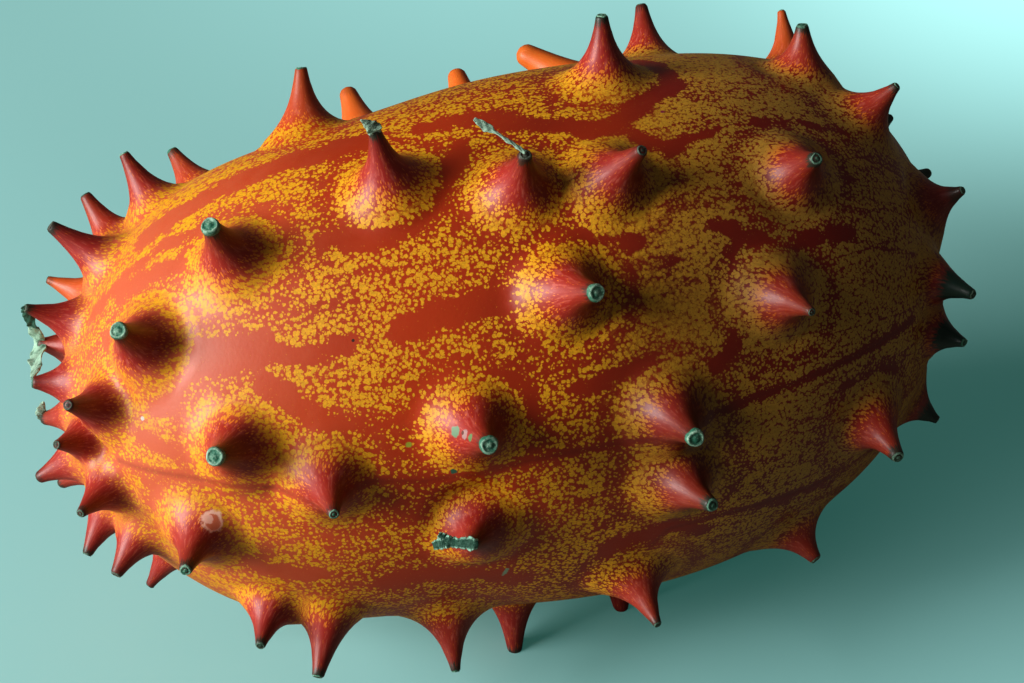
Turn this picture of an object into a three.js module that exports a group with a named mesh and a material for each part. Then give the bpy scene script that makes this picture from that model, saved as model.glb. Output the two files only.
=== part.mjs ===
// A horned melon lying on its side, resting on the tips of four of its spines.
// Millimetres, +Z up, the surface it lies on at z = 0, +X along the fruit toward its stalk end.
// A place on the skin is a station (mm from the middle of the fruit, + toward the stalk end)
// and a longitude (degrees round the fruit: 0 on top, 90 at -Y, 180 underneath, -90 at +Y).
import * as THREE from 'three';
import { ConvexHull } from 'three/addons/math/ConvexHull.js';

// Body
const BODY_LENGTH = 112;
const BODY_DIAMETER = 68;
const WIDEST_STATION = 15;
const BLOSSOM_FULLNESS = 2.6;
const STALK_FULLNESS = 2.2;
const SKEW = 0.13;
const SKEW_LONGITUDE = -40;
const AXIS_HEIGHT = 39;
const HALF_LENGTH = BODY_LENGTH / 2;
const BELLY = BODY_DIAMETER / 2;

// Broad swells and hollows: station, longitude, half length (mm), half width (degrees), rise (mm)
const SWELLS = [
  [-28, 124, 16, 24, 2.2],
  [8, 130, 14, 20, 0.8],
  [-24, -38, 15, 24, -1.8],
  [-50, 140, 10, 40, -1.2],
  [36, 104, 12, 30, -0.8],
  [40, -25, 12, 30, 0.7],
];
const SWELL_FADE_RADIUS = 12;

// Spines: blunt tips on stems that widen into flared feet, which run into one another
const SPINE_TIP_RADIUS = 0.95;
const SPINE_NECK = 1.3;
const SPINE_FOOT_RADIUS = 7.5;
const FOOT_SHARE = 0.8;
const SPINE_BEND_POWER = 1.4;
const SPINE_RINGS = [0.95, 1.5, 2.5, 4.2, 7];
const RING_SHARE = 0.46;
const RING_GAP = 0.8;
const SPINE_LEAST_SIDES = 8;
const SPINE_SIDE_LENGTH = 3;
const REST_BITE = 0.6;

// Each spine: longitude, station, length, then how far the tip is carried toward the stalk end
// and round the fruit toward a greater longitude. The first few have dried scraps on their tips.
const SCRAP_SPINE = [90, -8, 6, -1, -2.9];
const STRAND_SPINE = [20, -3.5, 7.8, 0.4, 0.7];
const REMAINS_SPINES = [
  [-13, -55.1, 7, 1, 1.5],
  [-71, -55.7, 5, 0, 0],
  [41, -55.8, 4.9, 0, 0],
];
const SEEN_SPINES = [
  // upper edge
  [-29, -27, 7.8, 1.6, 0],
  [-12, 9, 8, 0, 0],
  [-17, 35, 5.6, -1.6, 0],
  [-2, 42, 6.1, 0, 0.6],
  [-68, -18, 8, 0, 0],
  [-69, -3.5, 8, 0, 0],
  [-62, 11, 6.8, -6, 0],
  [-50, 19.3, 8.4, 0, 0],
  [-46, 37.5, 8.5, -3, 0],
  [-60, 49, 7, 0, 0],
  [-66, 53, 7, 0, 0],
  [-66, -40, 8, 0, 0],
  // first row in view
  [22, -36.5, 7.9, 0.6, 0.2],
  [13, -18.5, 8.4, -0.2, -1.2],
  [21, 7.5, 7.9, 2.2, 1.4],
  [23, 29.5, 7.3, -1, 2],
  [17, 51, 5, -1.6, 0.6],
  // second row
  [39, -46.5, 7.6, 2.2, 0],
  [43, 1.5, 8.1, 1.9, 1.4],
  [49, 26.5, 8, 0.1, 1.8],
  [49, 50, 5.6, -1.2, 1.7],
  // third row
  [68, -36, 7.8, 0.2, -1.3],
  [77, -25.5, 7.9, 1.5, -0.2],
  [67, -9, 8, 1, -0.5],
  [69, 14, 8.1, 0.7, 0],
  [84, 16, 7.7, 1.6, -1.7],
  [69, 50.8, 4.6, -1.5, 0],
  // fourth row
  [95, -40, 7.5, 1.5, -1.2],
  [85, 41, 6.7, -2, 0],
  [126, 52.5, 4.5, -0.6, 0],
  // lower edge
  [115, 13.5, 7.2, 1, -1],
  [120, -24.5, 7.7, -1, 0.5],
  [118, -31.5, 6.2, 0.2, -2],
  [129, -9, 7.6, 0.2, 0],
  [124, 35.5, 5, 0.2, -0.4],
  [165, -43, 7.5, 0, 0],
  // blossom end
  [-34, -46, 7.3, 1, 0],
  [-43, -50.5, 7, 1.9, -0.3],
  [-22, -52, 8, 0.3, 0],
  [-72, -53.6, 7, 0, 0],
  [58, -51.5, 6.8, 2.5, -0.9],
  [190, -55.8, 4.6, 2, 1.2],
  [78, -53.8, 4.9, 2.5, -1.5],
  [122, -55, 5.6, 0.3, 2],
  [166, -54.3, 4.6, 1.5, 1.2],
  [95, -51, 6, 2.1, -1.4],
  [122, -51.2, 5.4, 2, 0.8],
  [115, -47.5, 5.4, 0.9, 0.4],
];
// Spines whose tips carry the fruit: longitude, station; their length follows from the axis height
const RESTING_SPINES = [
  [154, 1.4],
  [160, 16.5],
  [195, -13],
  [200, 26],
];
// Spines of the side turned away: a few at the blossom end, then staggered rows
const FAR_END_SPINES = [
  [-108, -54, 7, 0, 0],
  [-145, -54, 7, 0, 0],
  [-122, -49, 7.4, 0, 0],
];
const FAR_ROWS = [-86, -110, -134, -161];
const FAR_ROW_FIRST = -40;
const FAR_ROW_LAST = 50;
const FAR_ROW_PITCH = 18;
const FAR_ROW_STAGGER = 9;
const FAR_JITTER_STATION = 3;
const FAR_JITTER_LONGITUDE = 4;
const FAR_LENGTH = 7.6;
const FAR_LENGTH_JITTER = 0.5;
const FAR_SPACING = 10;
const TABLE_CLEARANCE = 0.8;

// Woody end of the stalk: place, seat above the skin, and outline as radius and height
const STUB_LONGITUDE = -130;
const STUB_STATION = 55.2;
const STUB_SEAT = 0.45;
const STUB_OUTLINE = [[0, 0], [3, 0], [2.6, 0.7], [2.3, 1.5], [2.4, 2.4], [2, 2.8], [1, 2.55], [0, 2.5]];
const STUB_SIDES = 16;

// Dried scraps of the flower, caught on spine tips
const SCRAP_GAP = 0.35;
const BLADE_THICKNESS = 0.65;
const BLADE_STEPS = 16;
const REMAINS_WIDTHS = [0.7, 1.2, 1.5, 1.3, 1.6, 1.1, 0.7];
const REMAINS_ACROSS = new THREE.Vector3(0.6, -0.6, 0.5);
const REMAINS_SAG = new THREE.Vector3(0, 0, 0);
const REMAINS_GAP = 0.6;
const STRAND_WIDTHS = [0.8, 1.1, 0.8, 0.7, 1.3, 1.8, 0.8];
const STRAND_REACH = [5.9, 5.3, 0.5];
const FORK_THICKNESS = 0.8;
const FORK_OUTLINE = [
  [0.6, -0.3], [0.6, 0.3], [0.2, 0.6], [-1.4, 0.5], [-2.6, 0.9], [-4.1, 1.2], [-4.4, 0.7],
  [-3.3, 0.3], [-3, -0.1], [-4.6, 0.1], [-5, -0.4], [-4.4, -0.8], [-2.9, -0.6], [-1.4, -0.5], [0.2, -0.6],
];

// Fineness of the skin between the spines
const SKIN_POINTS = 1700;
const SKIN_CLEARANCE = 1.6;
const OUTLINE_STEPS = 400;

const RADIANS = Math.PI / 180;
const GOLDEN_ANGLE = Math.PI * (3 - Math.sqrt(5));

// A repeatable fraction from 0 to 1 for each whole number.
function draw(seed) {
  const value = Math.sin(seed * 12.9898) * 43758.5453;
  return value - Math.floor(value);
}

function wrapDegrees(angle) {
  return ((angle + 540) % 360) - 180;
}

function reach(station) {
  return station < WIDEST_STATION ? HALF_LENGTH + WIDEST_STATION : HALF_LENGTH - WIDEST_STATION;
}

function outlineRadius(station) {
  const fullness = station < WIDEST_STATION ? BLOSSOM_FULLNESS : STALK_FULLNESS;
  const part = Math.min(Math.abs(station - WIDEST_STATION) / reach(station), 1);
  return BELLY * (1 - part ** fullness) ** (1 / fullness);
}

function swellAt(station, longitude) {
  let rise = 0;
  for (const [atStation, atLongitude, halfLength, halfWidth, height] of SWELLS) {
    const along = (station - atStation) / halfLength;
    const round = wrapDegrees(longitude - atLongitude) / halfWidth;
    rise += height * Math.exp(-along * along - round * round);
  }
  return rise * Math.min(outlineRadius(station) / SWELL_FADE_RADIUS, 1);
}

function skinPoint(station, longitude) {
  const radius = outlineRadius(station) + swellAt(station, longitude);
  const x = station + SKEW * radius * Math.cos((longitude - SKEW_LONGITUDE) * RADIANS);
  const y = -radius * Math.sin(longitude * RADIANS);
  const z = AXIS_HEIGHT + radius * Math.cos(longitude * RADIANS);
  return new THREE.Vector3(x, y, z);
}

function skinNormal(station, longitude) {
  const step = 0.05;
  const along = skinPoint(station + step, longitude).sub(skinPoint(station - step, longitude));
  const round = skinPoint(station, longitude + step).sub(skinPoint(station, longitude - step));
  return along.cross(round).negate().normalize();
}

// The angle that a station makes at the widest point, 0 at the blossom end and 180 at the stalk end.
function meridianAngle(station) {
  const along = (station - WIDEST_STATION) / reach(station);
  return Math.atan2(outlineRadius(station) / BELLY, -along);
}

function stationAtAngle(angle) {
  const along = -Math.cos(angle);
  const across = Math.sin(angle);
  const side = along < 0 ? HALF_LENGTH + WIDEST_STATION : HALF_LENGTH - WIDEST_STATION;
  const fullness = along < 0 ? BLOSSOM_FULLNESS : STALK_FULLNESS;
  const size = (Math.abs(along) ** fullness + across ** fullness) ** (-1 / fullness);
  return WIDEST_STATION + side * size * along;
}

// The skin's place under a point near it, found along the line to the fruit's middle.
function placeUnder(point) {
  const up = point.z - AXIS_HEIGHT;
  const radius = Math.hypot(point.y, up);
  const longitude = Math.atan2(-point.y, up) / RADIANS;
  const station = point.x - SKEW * radius * Math.cos((longitude - SKEW_LONGITUDE) * RADIANS);
  const plainRadius = Math.max(radius - swellAt(station, longitude), 0);
  const along = (station - WIDEST_STATION) / reach(station);
  return [stationAtAngle(Math.atan2(plainRadius / BELLY, -along)), longitude];
}

// Walks the outline from end to end: the skin's area and its isometric latitude so far.
function walkOutline() {
  const area = [0];
  const latitude = [0];
  const step = Math.PI / OUTLINE_STEPS;
  for (let i = 1; i < OUTLINE_STEPS; i += 1) {
    const from = stationAtAngle((i - 0.5) * step);
    const to = stationAtAngle((i + 0.5) * step);
    const middle = outlineRadius((from + to) / 2);
    const length = Math.hypot(to - from, outlineRadius(to) - outlineRadius(from));
    area.push(area[i - 1] + length * middle);
    latitude.push(latitude[i - 1] + length / middle);
  }
  const half = latitude[OUTLINE_STEPS / 2];
  return { area, latitude: latitude.map((value) => value - half) };
}

const OUTLINE = walkOutline();

// A point of the unit sphere for each place, by a map that keeps small shapes: the convex hull
// of such points is an even triangulation of the skin.
function spherePoint(station, longitude) {
  const last = OUTLINE.latitude.length - 1;
  const position = meridianAngle(station) / Math.PI * OUTLINE_STEPS - 0.5;
  const index = Math.min(Math.max(Math.floor(position), 0), last - 1);
  const share = Math.min(Math.max(position - index, -0.5), 1.5);
  const below = OUTLINE.latitude[index];
  const latitude = below + (OUTLINE.latitude[index + 1] - below) * share;
  const round = 1 / Math.cosh(latitude);
  const angle = longitude * RADIANS;
  return new THREE.Vector3(Math.tanh(latitude), -round * Math.sin(angle), round * Math.cos(angle));
}

// Root, directions and size of one spine.
function makeSpine([longitude, station, length, along, round]) {
  const root = skinPoint(station, longitude);
  const normal = skinNormal(station, longitude);
  const lengthwise = skinPoint(station + 0.1, longitude).sub(skinPoint(station - 0.1, longitude));
  lengthwise.addScaledVector(normal, -lengthwise.dot(normal)).normalize();
  const crosswise = new THREE.Vector3().crossVectors(lengthwise, normal);
  const lean = new THREE.Vector3().addScaledVector(lengthwise, along).addScaledVector(crosswise, round);
  return { root, normal, lengthwise, crosswise, lean, length, longitude, station, rests: false };
}

// The length at which a spine's tip comes to a height.
function lengthToHeight(spine, height) {
  return (height - spine.root.z - spine.lean.z) / spine.normal.z;
}

function restingSpine([longitude, station]) {
  const spine = makeSpine([longitude, station, 1, 0, 0]);
  spine.length = lengthToHeight(spine, -REST_BITE);
  spine.rests = true;
  return spine;
}

// Staggered rows over the side turned away, with small repeatable shifts.
function farSpines(others) {
  const spines = FAR_END_SPINES.map(makeSpine);
  let seed = 1;
  FAR_ROWS.forEach((rowLongitude, row) => {
    const first = FAR_ROW_FIRST + (row % 2) * FAR_ROW_STAGGER;
    for (let station = first; station <= FAR_ROW_LAST; station += FAR_ROW_PITCH) {
      const atStation = Math.min(station + (draw(seed) - 0.5) * 2 * FAR_JITTER_STATION, FAR_ROW_LAST);
      const atLongitude = rowLongitude + (draw(seed + 1) - 0.5) * 2 * FAR_JITTER_LONGITUDE;
      const length = FAR_LENGTH + (draw(seed + 2) - 0.5) * 2 * FAR_LENGTH_JITTER;
      seed += 3;
      const spine = makeSpine([atLongitude, atStation, length, 0, 0]);
      const crowded = [...others, ...spines]
        .some((other) => other.root.distanceTo(spine.root) < FAR_SPACING);
      if (!crowded) spines.push(spine);
    }
  });
  return spines;
}

// Shortens a spine that would reach the table beside the ones that carry the fruit.
function keepOffTable(spine) {
  if (spine.rests || spine.normal.z >= 0) return;
  spine.length = Math.min(spine.length, lengthToHeight(spine, TABLE_CLEARANCE));
}

// Feet spread over part of the way to the nearest neighbour.
function setFeet(spines) {
  for (const spine of spines) {
    const others = spines.filter((other) => other !== spine);
    const gaps = others.map((other) => other.root.distanceTo(spine.root));
    spine.gap = Math.min(...gaps);
    spine.foot = Math.min(SPINE_FOOT_RADIUS, FOOT_SHARE * spine.gap);
  }
}

// How high a spine stands at a distance from its root: the stem narrows as one over the distance
// past its tip and neck, and the foot meets the skin without a crease.
function spineHeight(spine, distance) {
  if (distance >= spine.foot) return 0;
  const pastTip = Math.max(distance - SPINE_TIP_RADIUS, 0);
  const out = (SPINE_TIP_RADIUS + pastTip) / spine.foot;
  const outAtTip = SPINE_TIP_RADIUS / spine.foot;
  const fade = (1 - out ** 2) / (1 - outAtTip ** 2);
  return spine.length * SPINE_NECK / (SPINE_NECK + pastTip) * fade ** 2;
}

// The centre line of a spine at a height above its root.
function spineAxis(spine, height) {
  const bend = (height / spine.length) ** SPINE_BEND_POWER;
  return spine.root.clone().addScaledVector(spine.normal, height).addScaledVector(spine.lean, bend);
}

function spineDirection(spine, height) {
  const slope = SPINE_BEND_POWER / spine.length * (height / spine.length) ** (SPINE_BEND_POWER - 1);
  return spine.normal.clone().addScaledVector(spine.lean, slope).normalize();
}

// Lifts a point of the bare skin by the feet of all spines but one.
function raise(point, spines, except) {
  const lifted = point.clone();
  for (const spine of spines) {
    if (spine === except) continue;
    lifted.addScaledVector(spine.normal, spineHeight(spine, point.distanceTo(spine.root)));
  }
  return lifted;
}

// A point of a spine at a radius and an angle round its root, square to the bent centre line.
function spinePoint(spine, radius, angle, spines) {
  const height = spineHeight(spine, radius);
  const flat = spine.root.clone();
  flat.addScaledVector(spine.lengthwise, radius * Math.cos(angle));
  flat.addScaledVector(spine.crosswise, radius * Math.sin(angle));
  const place = placeUnder(flat);
  const offset = raise(skinPoint(...place), spines, spine).sub(spine.root);
  const turn = new THREE.Quaternion().setFromUnitVectors(spine.normal, spineDirection(spine, height));
  return { place, point: spineAxis(spine, height).add(offset.applyQuaternion(turn)) };
}

// All points of one spine, from its tip out to its foot.
function spinePoints(spine, spines) {
  const tip = raise(spine.root, spines, spine).sub(spine.root).add(spineAxis(spine, spine.length));
  const points = [{ place: [spine.station, spine.longitude], point: tip }];
  const widest = RING_SHARE * spine.gap;
  const rings = SPINE_RINGS.filter((radius) => radius < widest - RING_GAP || radius <= SPINE_RINGS[1]);
  if (widest < SPINE_RINGS[SPINE_RINGS.length - 1] + RING_GAP) rings.push(widest);
  rings.forEach((radius, ring) => {
    const sides = Math.max(SPINE_LEAST_SIDES, Math.round(2 * Math.PI * radius / SPINE_SIDE_LENGTH));
    for (let side = 0; side < sides; side += 1) {
      const angle = (side + (ring % 2) / 2) / sides * 2 * Math.PI;
      points.push(spinePoint(spine, radius, angle, spines));
    }
  });
  spine.ringReach = rings[rings.length - 1];
  if (spine.rests) {
    for (const { point } of points) point.z = Math.max(point.z, 0);
  }
  return points;
}

// Places spread evenly over the skin, clear of every spine's foot.
function openSkinPoints(spines) {
  const total = OUTLINE.area[OUTLINE.area.length - 1];
  const points = [];
  let index = 0;
  for (let k = 0; k < SKIN_POINTS; k += 1) {
    const wanted = (k + 0.5) / SKIN_POINTS * total;
    while (index < OUTLINE.area.length - 2 && OUTLINE.area[index + 1] < wanted) index += 1;
    const share = (wanted - OUTLINE.area[index]) / (OUTLINE.area[index + 1] - OUTLINE.area[index]);
    const station = stationAtAngle((index + 0.5 + share) * Math.PI / OUTLINE_STEPS);
    const longitude = wrapDegrees(k * GOLDEN_ANGLE / RADIANS % 360);
    const point = skinPoint(station, longitude);
    const clear = spines.every((spine) => point.distanceTo(spine.root) > spine.ringReach + SKIN_CLEARANCE);
    if (clear) points.push({ place: [station, longitude], point: raise(point, spines) });
  }
  return points;
}

function geometryFrom(positions, triangles) {
  const geometry = new THREE.BufferGeometry();
  geometry.setAttribute('position', new THREE.Float32BufferAttribute(positions, 3));
  geometry.setIndex(triangles);
  return geometry;
}

// The rind and all its spines as one closed skin.
function fruitGeometry(spines) {
  const onSpines = spines.flatMap((spine) => spinePoints(spine, spines));
  const points = [...onSpines, ...openSkinPoints(spines)];
  const onSphere = points.map(({ place }) => spherePoint(...place));
  const numberOf = new Map(onSphere.map((point, index) => [point, index]));
  const triangles = [];
  for (const face of new ConvexHull().setFromPoints(onSphere).faces) {
    const corners = [face.edge.tail().point, face.edge.head().point, face.edge.next.head().point];
    triangles.push(...corners.map((corner) => numberOf.get(corner)));
  }
  return geometryFrom(points.flatMap(({ point }) => point.toArray()), triangles);
}

// Turns a mesh so that its own axes point in three directions, and moves it to a place.
function setOut(mesh, xAxis, yAxis, zAxis, place) {
  mesh.quaternion.setFromRotationMatrix(new THREE.Matrix4().makeBasis(xAxis, yAxis, zAxis));
  mesh.position.copy(place);
  return mesh;
}

// A thin closed strip along a route, as wide as the widths say from end to end.
function bladeGeometry(route, widths, across) {
  const curve = new THREE.CatmullRomCurve3(route);
  const positions = [];
  const triangles = [];
  for (let step = 0; step <= BLADE_STEPS; step += 1) {
    const share = step / BLADE_STEPS;
    const index = Math.min(Math.floor(share * (widths.length - 1)), widths.length - 2);
    const part = share * (widths.length - 1) - index;
    const width = widths[index] * (1 - part) + widths[index + 1] * part;
    const tangent = curve.getTangent(share);
    const side = across.clone().addScaledVector(tangent, -across.dot(tangent)).normalize();
    const face = new THREE.Vector3().crossVectors(tangent, side);
    for (const [wide, thick] of [[-1, -1], [1, -1], [1, 1], [-1, 1]]) {
      const corner = curve.getPoint(share).addScaledVector(side, wide * width / 2);
      positions.push(...corner.addScaledVector(face, thick * BLADE_THICKNESS / 2).toArray());
    }
  }
  for (let step = 0; step < BLADE_STEPS; step += 1) {
    for (let corner = 0; corner < 4; corner += 1) {
      const near = step * 4 + corner;
      const next = step * 4 + (corner + 1) % 4;
      triangles.push(near, next, next + 4, near, next + 4, near + 4);
    }
  }
  const last = BLADE_STEPS * 4;
  triangles.push(0, 2, 1, 0, 3, 2, last, last + 1, last + 2, last, last + 2, last + 3);
  return geometryFrom(positions, triangles);
}

// A point just off the tip of a spine.
function offTip(spine, distance) {
  const tip = spineAxis(spine, spine.length);
  return tip.addScaledVector(spineDirection(spine, spine.length), distance);
}

// The woody end of the stalk, a little dished on top.
function stalkStub(material) {
  const outline = STUB_OUTLINE.map(([radius, height]) => new THREE.Vector2(radius, height));
  const mesh = new THREE.Mesh(new THREE.LatheGeometry(outline, STUB_SIDES), material);
  const up = skinNormal(STUB_STATION, STUB_LONGITUDE);
  const side = new THREE.Vector3(0, 0, 1).cross(up).normalize();
  const seat = skinPoint(STUB_STATION, STUB_LONGITUDE).addScaledVector(up, STUB_SEAT);
  mesh.name = 'stalk_stub';
  return setOut(mesh, side, up, side.clone().cross(up), seat);
}

// A papery strip hanging from tip to tip at the blossom end.
function flowerRemains(tips, material) {
  const off = REMAINS_GAP + Math.max(...REMAINS_WIDTHS) / 2;
  const [first, second, third] = tips.map((spine) => offTip(spine, off));
  const above = first.clone().lerp(second, -0.12);
  const middle = first.clone().lerp(second, 0.5).add(REMAINS_SAG);
  const below = second.clone().lerp(third, 0.6).add(REMAINS_SAG);
  const route = [above, first, middle, second, below];
  const mesh = new THREE.Mesh(bladeGeometry(route, REMAINS_WIDTHS, REMAINS_ACROSS), material);
  mesh.name = 'flower_remains';
  return mesh;
}

// A dried strand standing out from a spine tip, with a flat seed-like end.
function dryStrand(spine, material) {
  const [along, round, down] = STRAND_REACH;
  const start = offTip(spine, SCRAP_GAP + BLADE_THICKNESS / 2);
  const route = [0, 0.3, 0.62, 1].map((share) => start.clone()
    .addScaledVector(spine.lengthwise, -along * share)
    .addScaledVector(spine.crosswise, -round * share)
    .addScaledVector(spine.normal, -down * share ** 2));
  const mesh = new THREE.Mesh(bladeGeometry(route, STRAND_WIDTHS, spine.crosswise), material);
  mesh.name = 'dry_strand';
  return mesh;
}

// A forked scrap lying across a spine tip.
function tipScrap(spine, material) {
  const outline = new THREE.Shape(FORK_OUTLINE.map(([x, y]) => new THREE.Vector2(x, y)));
  const geometry = new THREE.ExtrudeGeometry(outline, { depth: FORK_THICKNESS, bevelEnabled: false });
  const up = spineDirection(spine, spine.length);
  const along = spine.lengthwise.clone().addScaledVector(up, -spine.lengthwise.dot(up)).normalize();
  const mesh = new THREE.Mesh(geometry, material);
  mesh.name = 'tip_scrap';
  return setOut(mesh, along, up.clone().cross(along), up, offTip(spine, SCRAP_GAP));
}

// Moves the whole fruit so that its box stands centred over the origin.
function centreOverOrigin(group) {
  const box = new THREE.Box3().setFromObject(group, true);
  const middle = box.getCenter(new THREE.Vector3());
  group.position.set(-middle.x, -middle.y, -box.min.z);
}

const rind = new THREE.MeshStandardMaterial({ color: 0xc8501c, roughness: 0.35, metalness: 0 });
const wood = new THREE.MeshStandardMaterial({ color: 0x8a7350, roughness: 0.85, metalness: 0 });
const paper = new THREE.MeshStandardMaterial({ color: 0x9db79a, roughness: 0.8, metalness: 0 });

const carriers = RESTING_SPINES.map(restingSpine);
const scrapSpine = makeSpine(SCRAP_SPINE);
const strandSpine = makeSpine(STRAND_SPINE);
const remainsSpines = REMAINS_SPINES.map(makeSpine);
const seenSpines = [...SEEN_SPINES.map(makeSpine), scrapSpine, strandSpine, ...remainsSpines];
const spines = [...carriers, ...seenSpines, ...farSpines([...carriers, ...seenSpines])];
spines.forEach(keepOffTable);
setFeet(spines);

const fruit = new THREE.Mesh(fruitGeometry(spines), rind);
fruit.name = 'fruit';

const part = new THREE.Group();
part.add(
  fruit,
  stalkStub(wood),
  flowerRemains(remainsSpines, paper),
  dryStrand(strandSpine, paper),
  tipScrap(scrapSpine, paper),
);
centreOverOrigin(part);

export default part;
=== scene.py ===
"""A horned melon lying on its side, finished for rendering."""

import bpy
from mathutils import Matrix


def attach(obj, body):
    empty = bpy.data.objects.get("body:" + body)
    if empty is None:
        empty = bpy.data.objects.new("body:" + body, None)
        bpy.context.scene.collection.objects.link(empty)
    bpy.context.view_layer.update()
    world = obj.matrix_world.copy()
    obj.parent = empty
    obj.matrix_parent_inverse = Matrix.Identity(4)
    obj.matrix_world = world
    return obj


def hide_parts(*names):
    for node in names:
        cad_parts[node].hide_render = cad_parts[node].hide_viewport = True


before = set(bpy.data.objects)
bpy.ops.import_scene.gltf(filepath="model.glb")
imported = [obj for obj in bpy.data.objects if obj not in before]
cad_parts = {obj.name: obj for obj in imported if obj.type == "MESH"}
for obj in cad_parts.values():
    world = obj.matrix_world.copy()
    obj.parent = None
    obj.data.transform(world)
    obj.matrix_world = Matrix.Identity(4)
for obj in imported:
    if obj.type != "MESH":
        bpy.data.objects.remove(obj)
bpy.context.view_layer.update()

import math

import bpy
import numpy as np
from mathutils import Vector
from mathutils.geometry import delaunay_2d_cdt
from mathutils.kdtree import KDTree

bl_info = {
    "name": "Horned melon",
    "version": (1, 0, 0),
    "blender": (4, 5, 0),
    "location": "3D Viewport > Sidebar > Horned melon",
    "description": "A speckled horned melon with dried scraps on its spines",
    "category": "Object",
}

MM = 0.001
ROOT = "root"

# The bare skin, in millimetres. A place on it is a longitude (degrees round the fruit: 0 on top,
# 90 at -Y, -90 at +Y) and a station (mm from the middle, + toward the stalk end).
WIDEST_STATION = 15
BLOSSOM_FULLNESS = 2.6
STALK_FULLNESS = 2.2
SKEW = 0.13
SKEW_LONGITUDE = -40
SKIN_MIDDLE = (0.333, 0.294, 39)
SWELLS = [
    (-28, 124, 16, 24, 2.2),
    (8, 130, 14, 20, 0.8),
    (-24, -38, 15, 24, -1.8),
    (-50, 140, 10, 40, -1.2),
    (36, 104, 12, 30, -0.8),
    (40, -25, 12, 30, 0.7),
]
SWELL_FADE_RADIUS = 12
OUTLINE_STEPS = 2000

# How slowly a spine widens below its tip, and the widest reach of its foot
NECK = 1.45
WIDEST_FOOT = 7.5
# Spines: longitude, station, length, then how far the tip is carried toward the stalk end
# and round the fruit toward a greater longitude.
BEND_POWER = 1.4
SCRAP_SPINE = (90, -8, 6, -1, -2.9)
STRAND_SPINE = (20, -3.5, 7.8, 0.4, 0.7)
REMAINS_SPINES = [
    (-13, -55.1, 7, 1, 1.5),
    (-71, -55.7, 5, 0, 0),
    (41, -55.8, 4.9, 0, 0),
]
SEEN_SPINES = [
    # upper edge
    (-29, -27, 7.8, 1.6, 0),
    (-12, 9, 8, 0, 0),
    (-17, 35, 5.6, -1.6, 0),
    (-2, 42, 6.1, 0, 0.6),
    (-68, -18, 8, 0, 0),
    (-69, -3.5, 8, 0, 0),
    (-62, 11, 6.8, -6, 0),
    (-50, 19.3, 8.4, 0, 0),
    (-46, 37.5, 8.5, -3, 0),
    (-60, 49, 7, 0, 0),
    (-66, 53, 7, 0, 0),
    (-66, -40, 8, 0, 0),
    # first row
    (22, -36.5, 7.9, 0.6, 0.2),
    (13, -18.5, 8.4, -0.2, -1.2),
    (21, 7.5, 7.9, 2.2, 1.4),
    (23, 29.5, 7.3, -1, 2),
    (17, 51, 5, -1.6, 0.6),
    # second row
    (39, -46.5, 7.6, 2.2, 0),
    (43, 1.5, 8.1, 1.9, 1.4),
    (49, 26.5, 8, 0.1, 1.8),
    (49, 50, 5.6, -1.2, 1.7),
    # third row
    (68, -36, 7.8, 0.2, -1.3),
    (77, -25.5, 7.9, 1.5, -0.2),
    (67, -9, 8, 1, -0.5),
    (69, 14, 8.1, 0.7, 0),
    (84, 16, 7.7, 1.6, -1.7),
    (69, 50.8, 4.6, -1.5, 0),
    # fourth row
    (95, -40, 7.5, 1.5, -1.2),
    (85, 41, 6.7, -2, 0),
    (126, 52.5, 4.5, -0.6, 0),
    # lower edge
    (115, 13.5, 7.2, 1, -1),
    (120, -24.5, 7.7, -1, 0.5),
    (118, -31.5, 6.2, 0.2, -2),
    (129, -9, 7.6, 0.2, 0),
    (124, 35.5, 5, 0.2, -0.4),
    (165, -43, 7.5, 0, 0),
    # blossom end
    (-34, -46, 7.3, 1, 0),
    (-43, -50.5, 7, 1.9, -0.3),
    (-22, -52, 8, 0.3, 0),
    (-72, -53.6, 7, 0, 0),
    (58, -51.5, 6.8, 2.5, -0.9),
    (190, -55.8, 4.6, 2, 1.2),
    (78, -53.8, 4.9, 2.5, -1.5),
    (122, -55, 5.6, 0.3, 2),
    (166, -54.3, 4.6, 1.5, 1.2),
    (95, -51, 6, 2.1, -1.4),
    (122, -51.2, 5.4, 2, 0.8),
    (115, -47.5, 5.4, 0.9, 0.4),
]
RESTING_SPINES = [(154, 1.4), (160, 16.5), (195, -13), (200, 26)]
FAR_END_SPINES = [(-108, -54, 7, 0, 0), (-145, -54, 7, 0, 0), (-122, -49, 7.4, 0, 0)]
FAR_ROWS = (-86, -110, -134, -161)
FAR_ROW_FIRST = -40
FAR_ROW_LAST = 50
FAR_ROW_PITCH = 18
FAR_ROW_STAGGER = 9
FAR_JITTER_STATION = 3
FAR_JITTER_LONGITUDE = 4
FAR_LENGTH = 7.6
FAR_LENGTH_JITTER = 0.5
FAR_SPACING = 10
REST_BITE = 0.6
TABLE_CLEARANCE = 0.8
FOOT_SHARE = 0.8
SPINE_RINGS = (
    0.35, 0.7, 0.88, 0.95, 1.0, 1.08, 1.18, 1.3, 1.45, 1.62, 1.82, 2.05, 2.35, 2.7,
    3.1, 3.55, 4.1, 4.75, 5.5, 6.3, 7.2,
)
TIP_RINGS_END = 1.4
# Radius of the tips that the fruit rests on, and shares of the usual tip radius that the others have
REST_RADIUS = 0.95
TIP_SHARES = (0.72, 1.14)
WIDE_TIP_SHARE = 1.36
WIDE_TIPS = [(22, -36.5), (39, -46.5), (68, -36), (67, -9), (43, 1.5), (69, 14)]
# Spines with a dark crust, and young ones that end round and bare, with their share of the tip radius
DARK_TIPS = [(20, -3.5), (21, 7.5)]
ROUND_TIPS = {(-68, -18): 1.7, (-69, -3.5): 1.8, (-62, 11): 2.1}
TIP_ROUNDING = 0.4
ROUND_TIP_ROUNDING = 0.9
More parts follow.
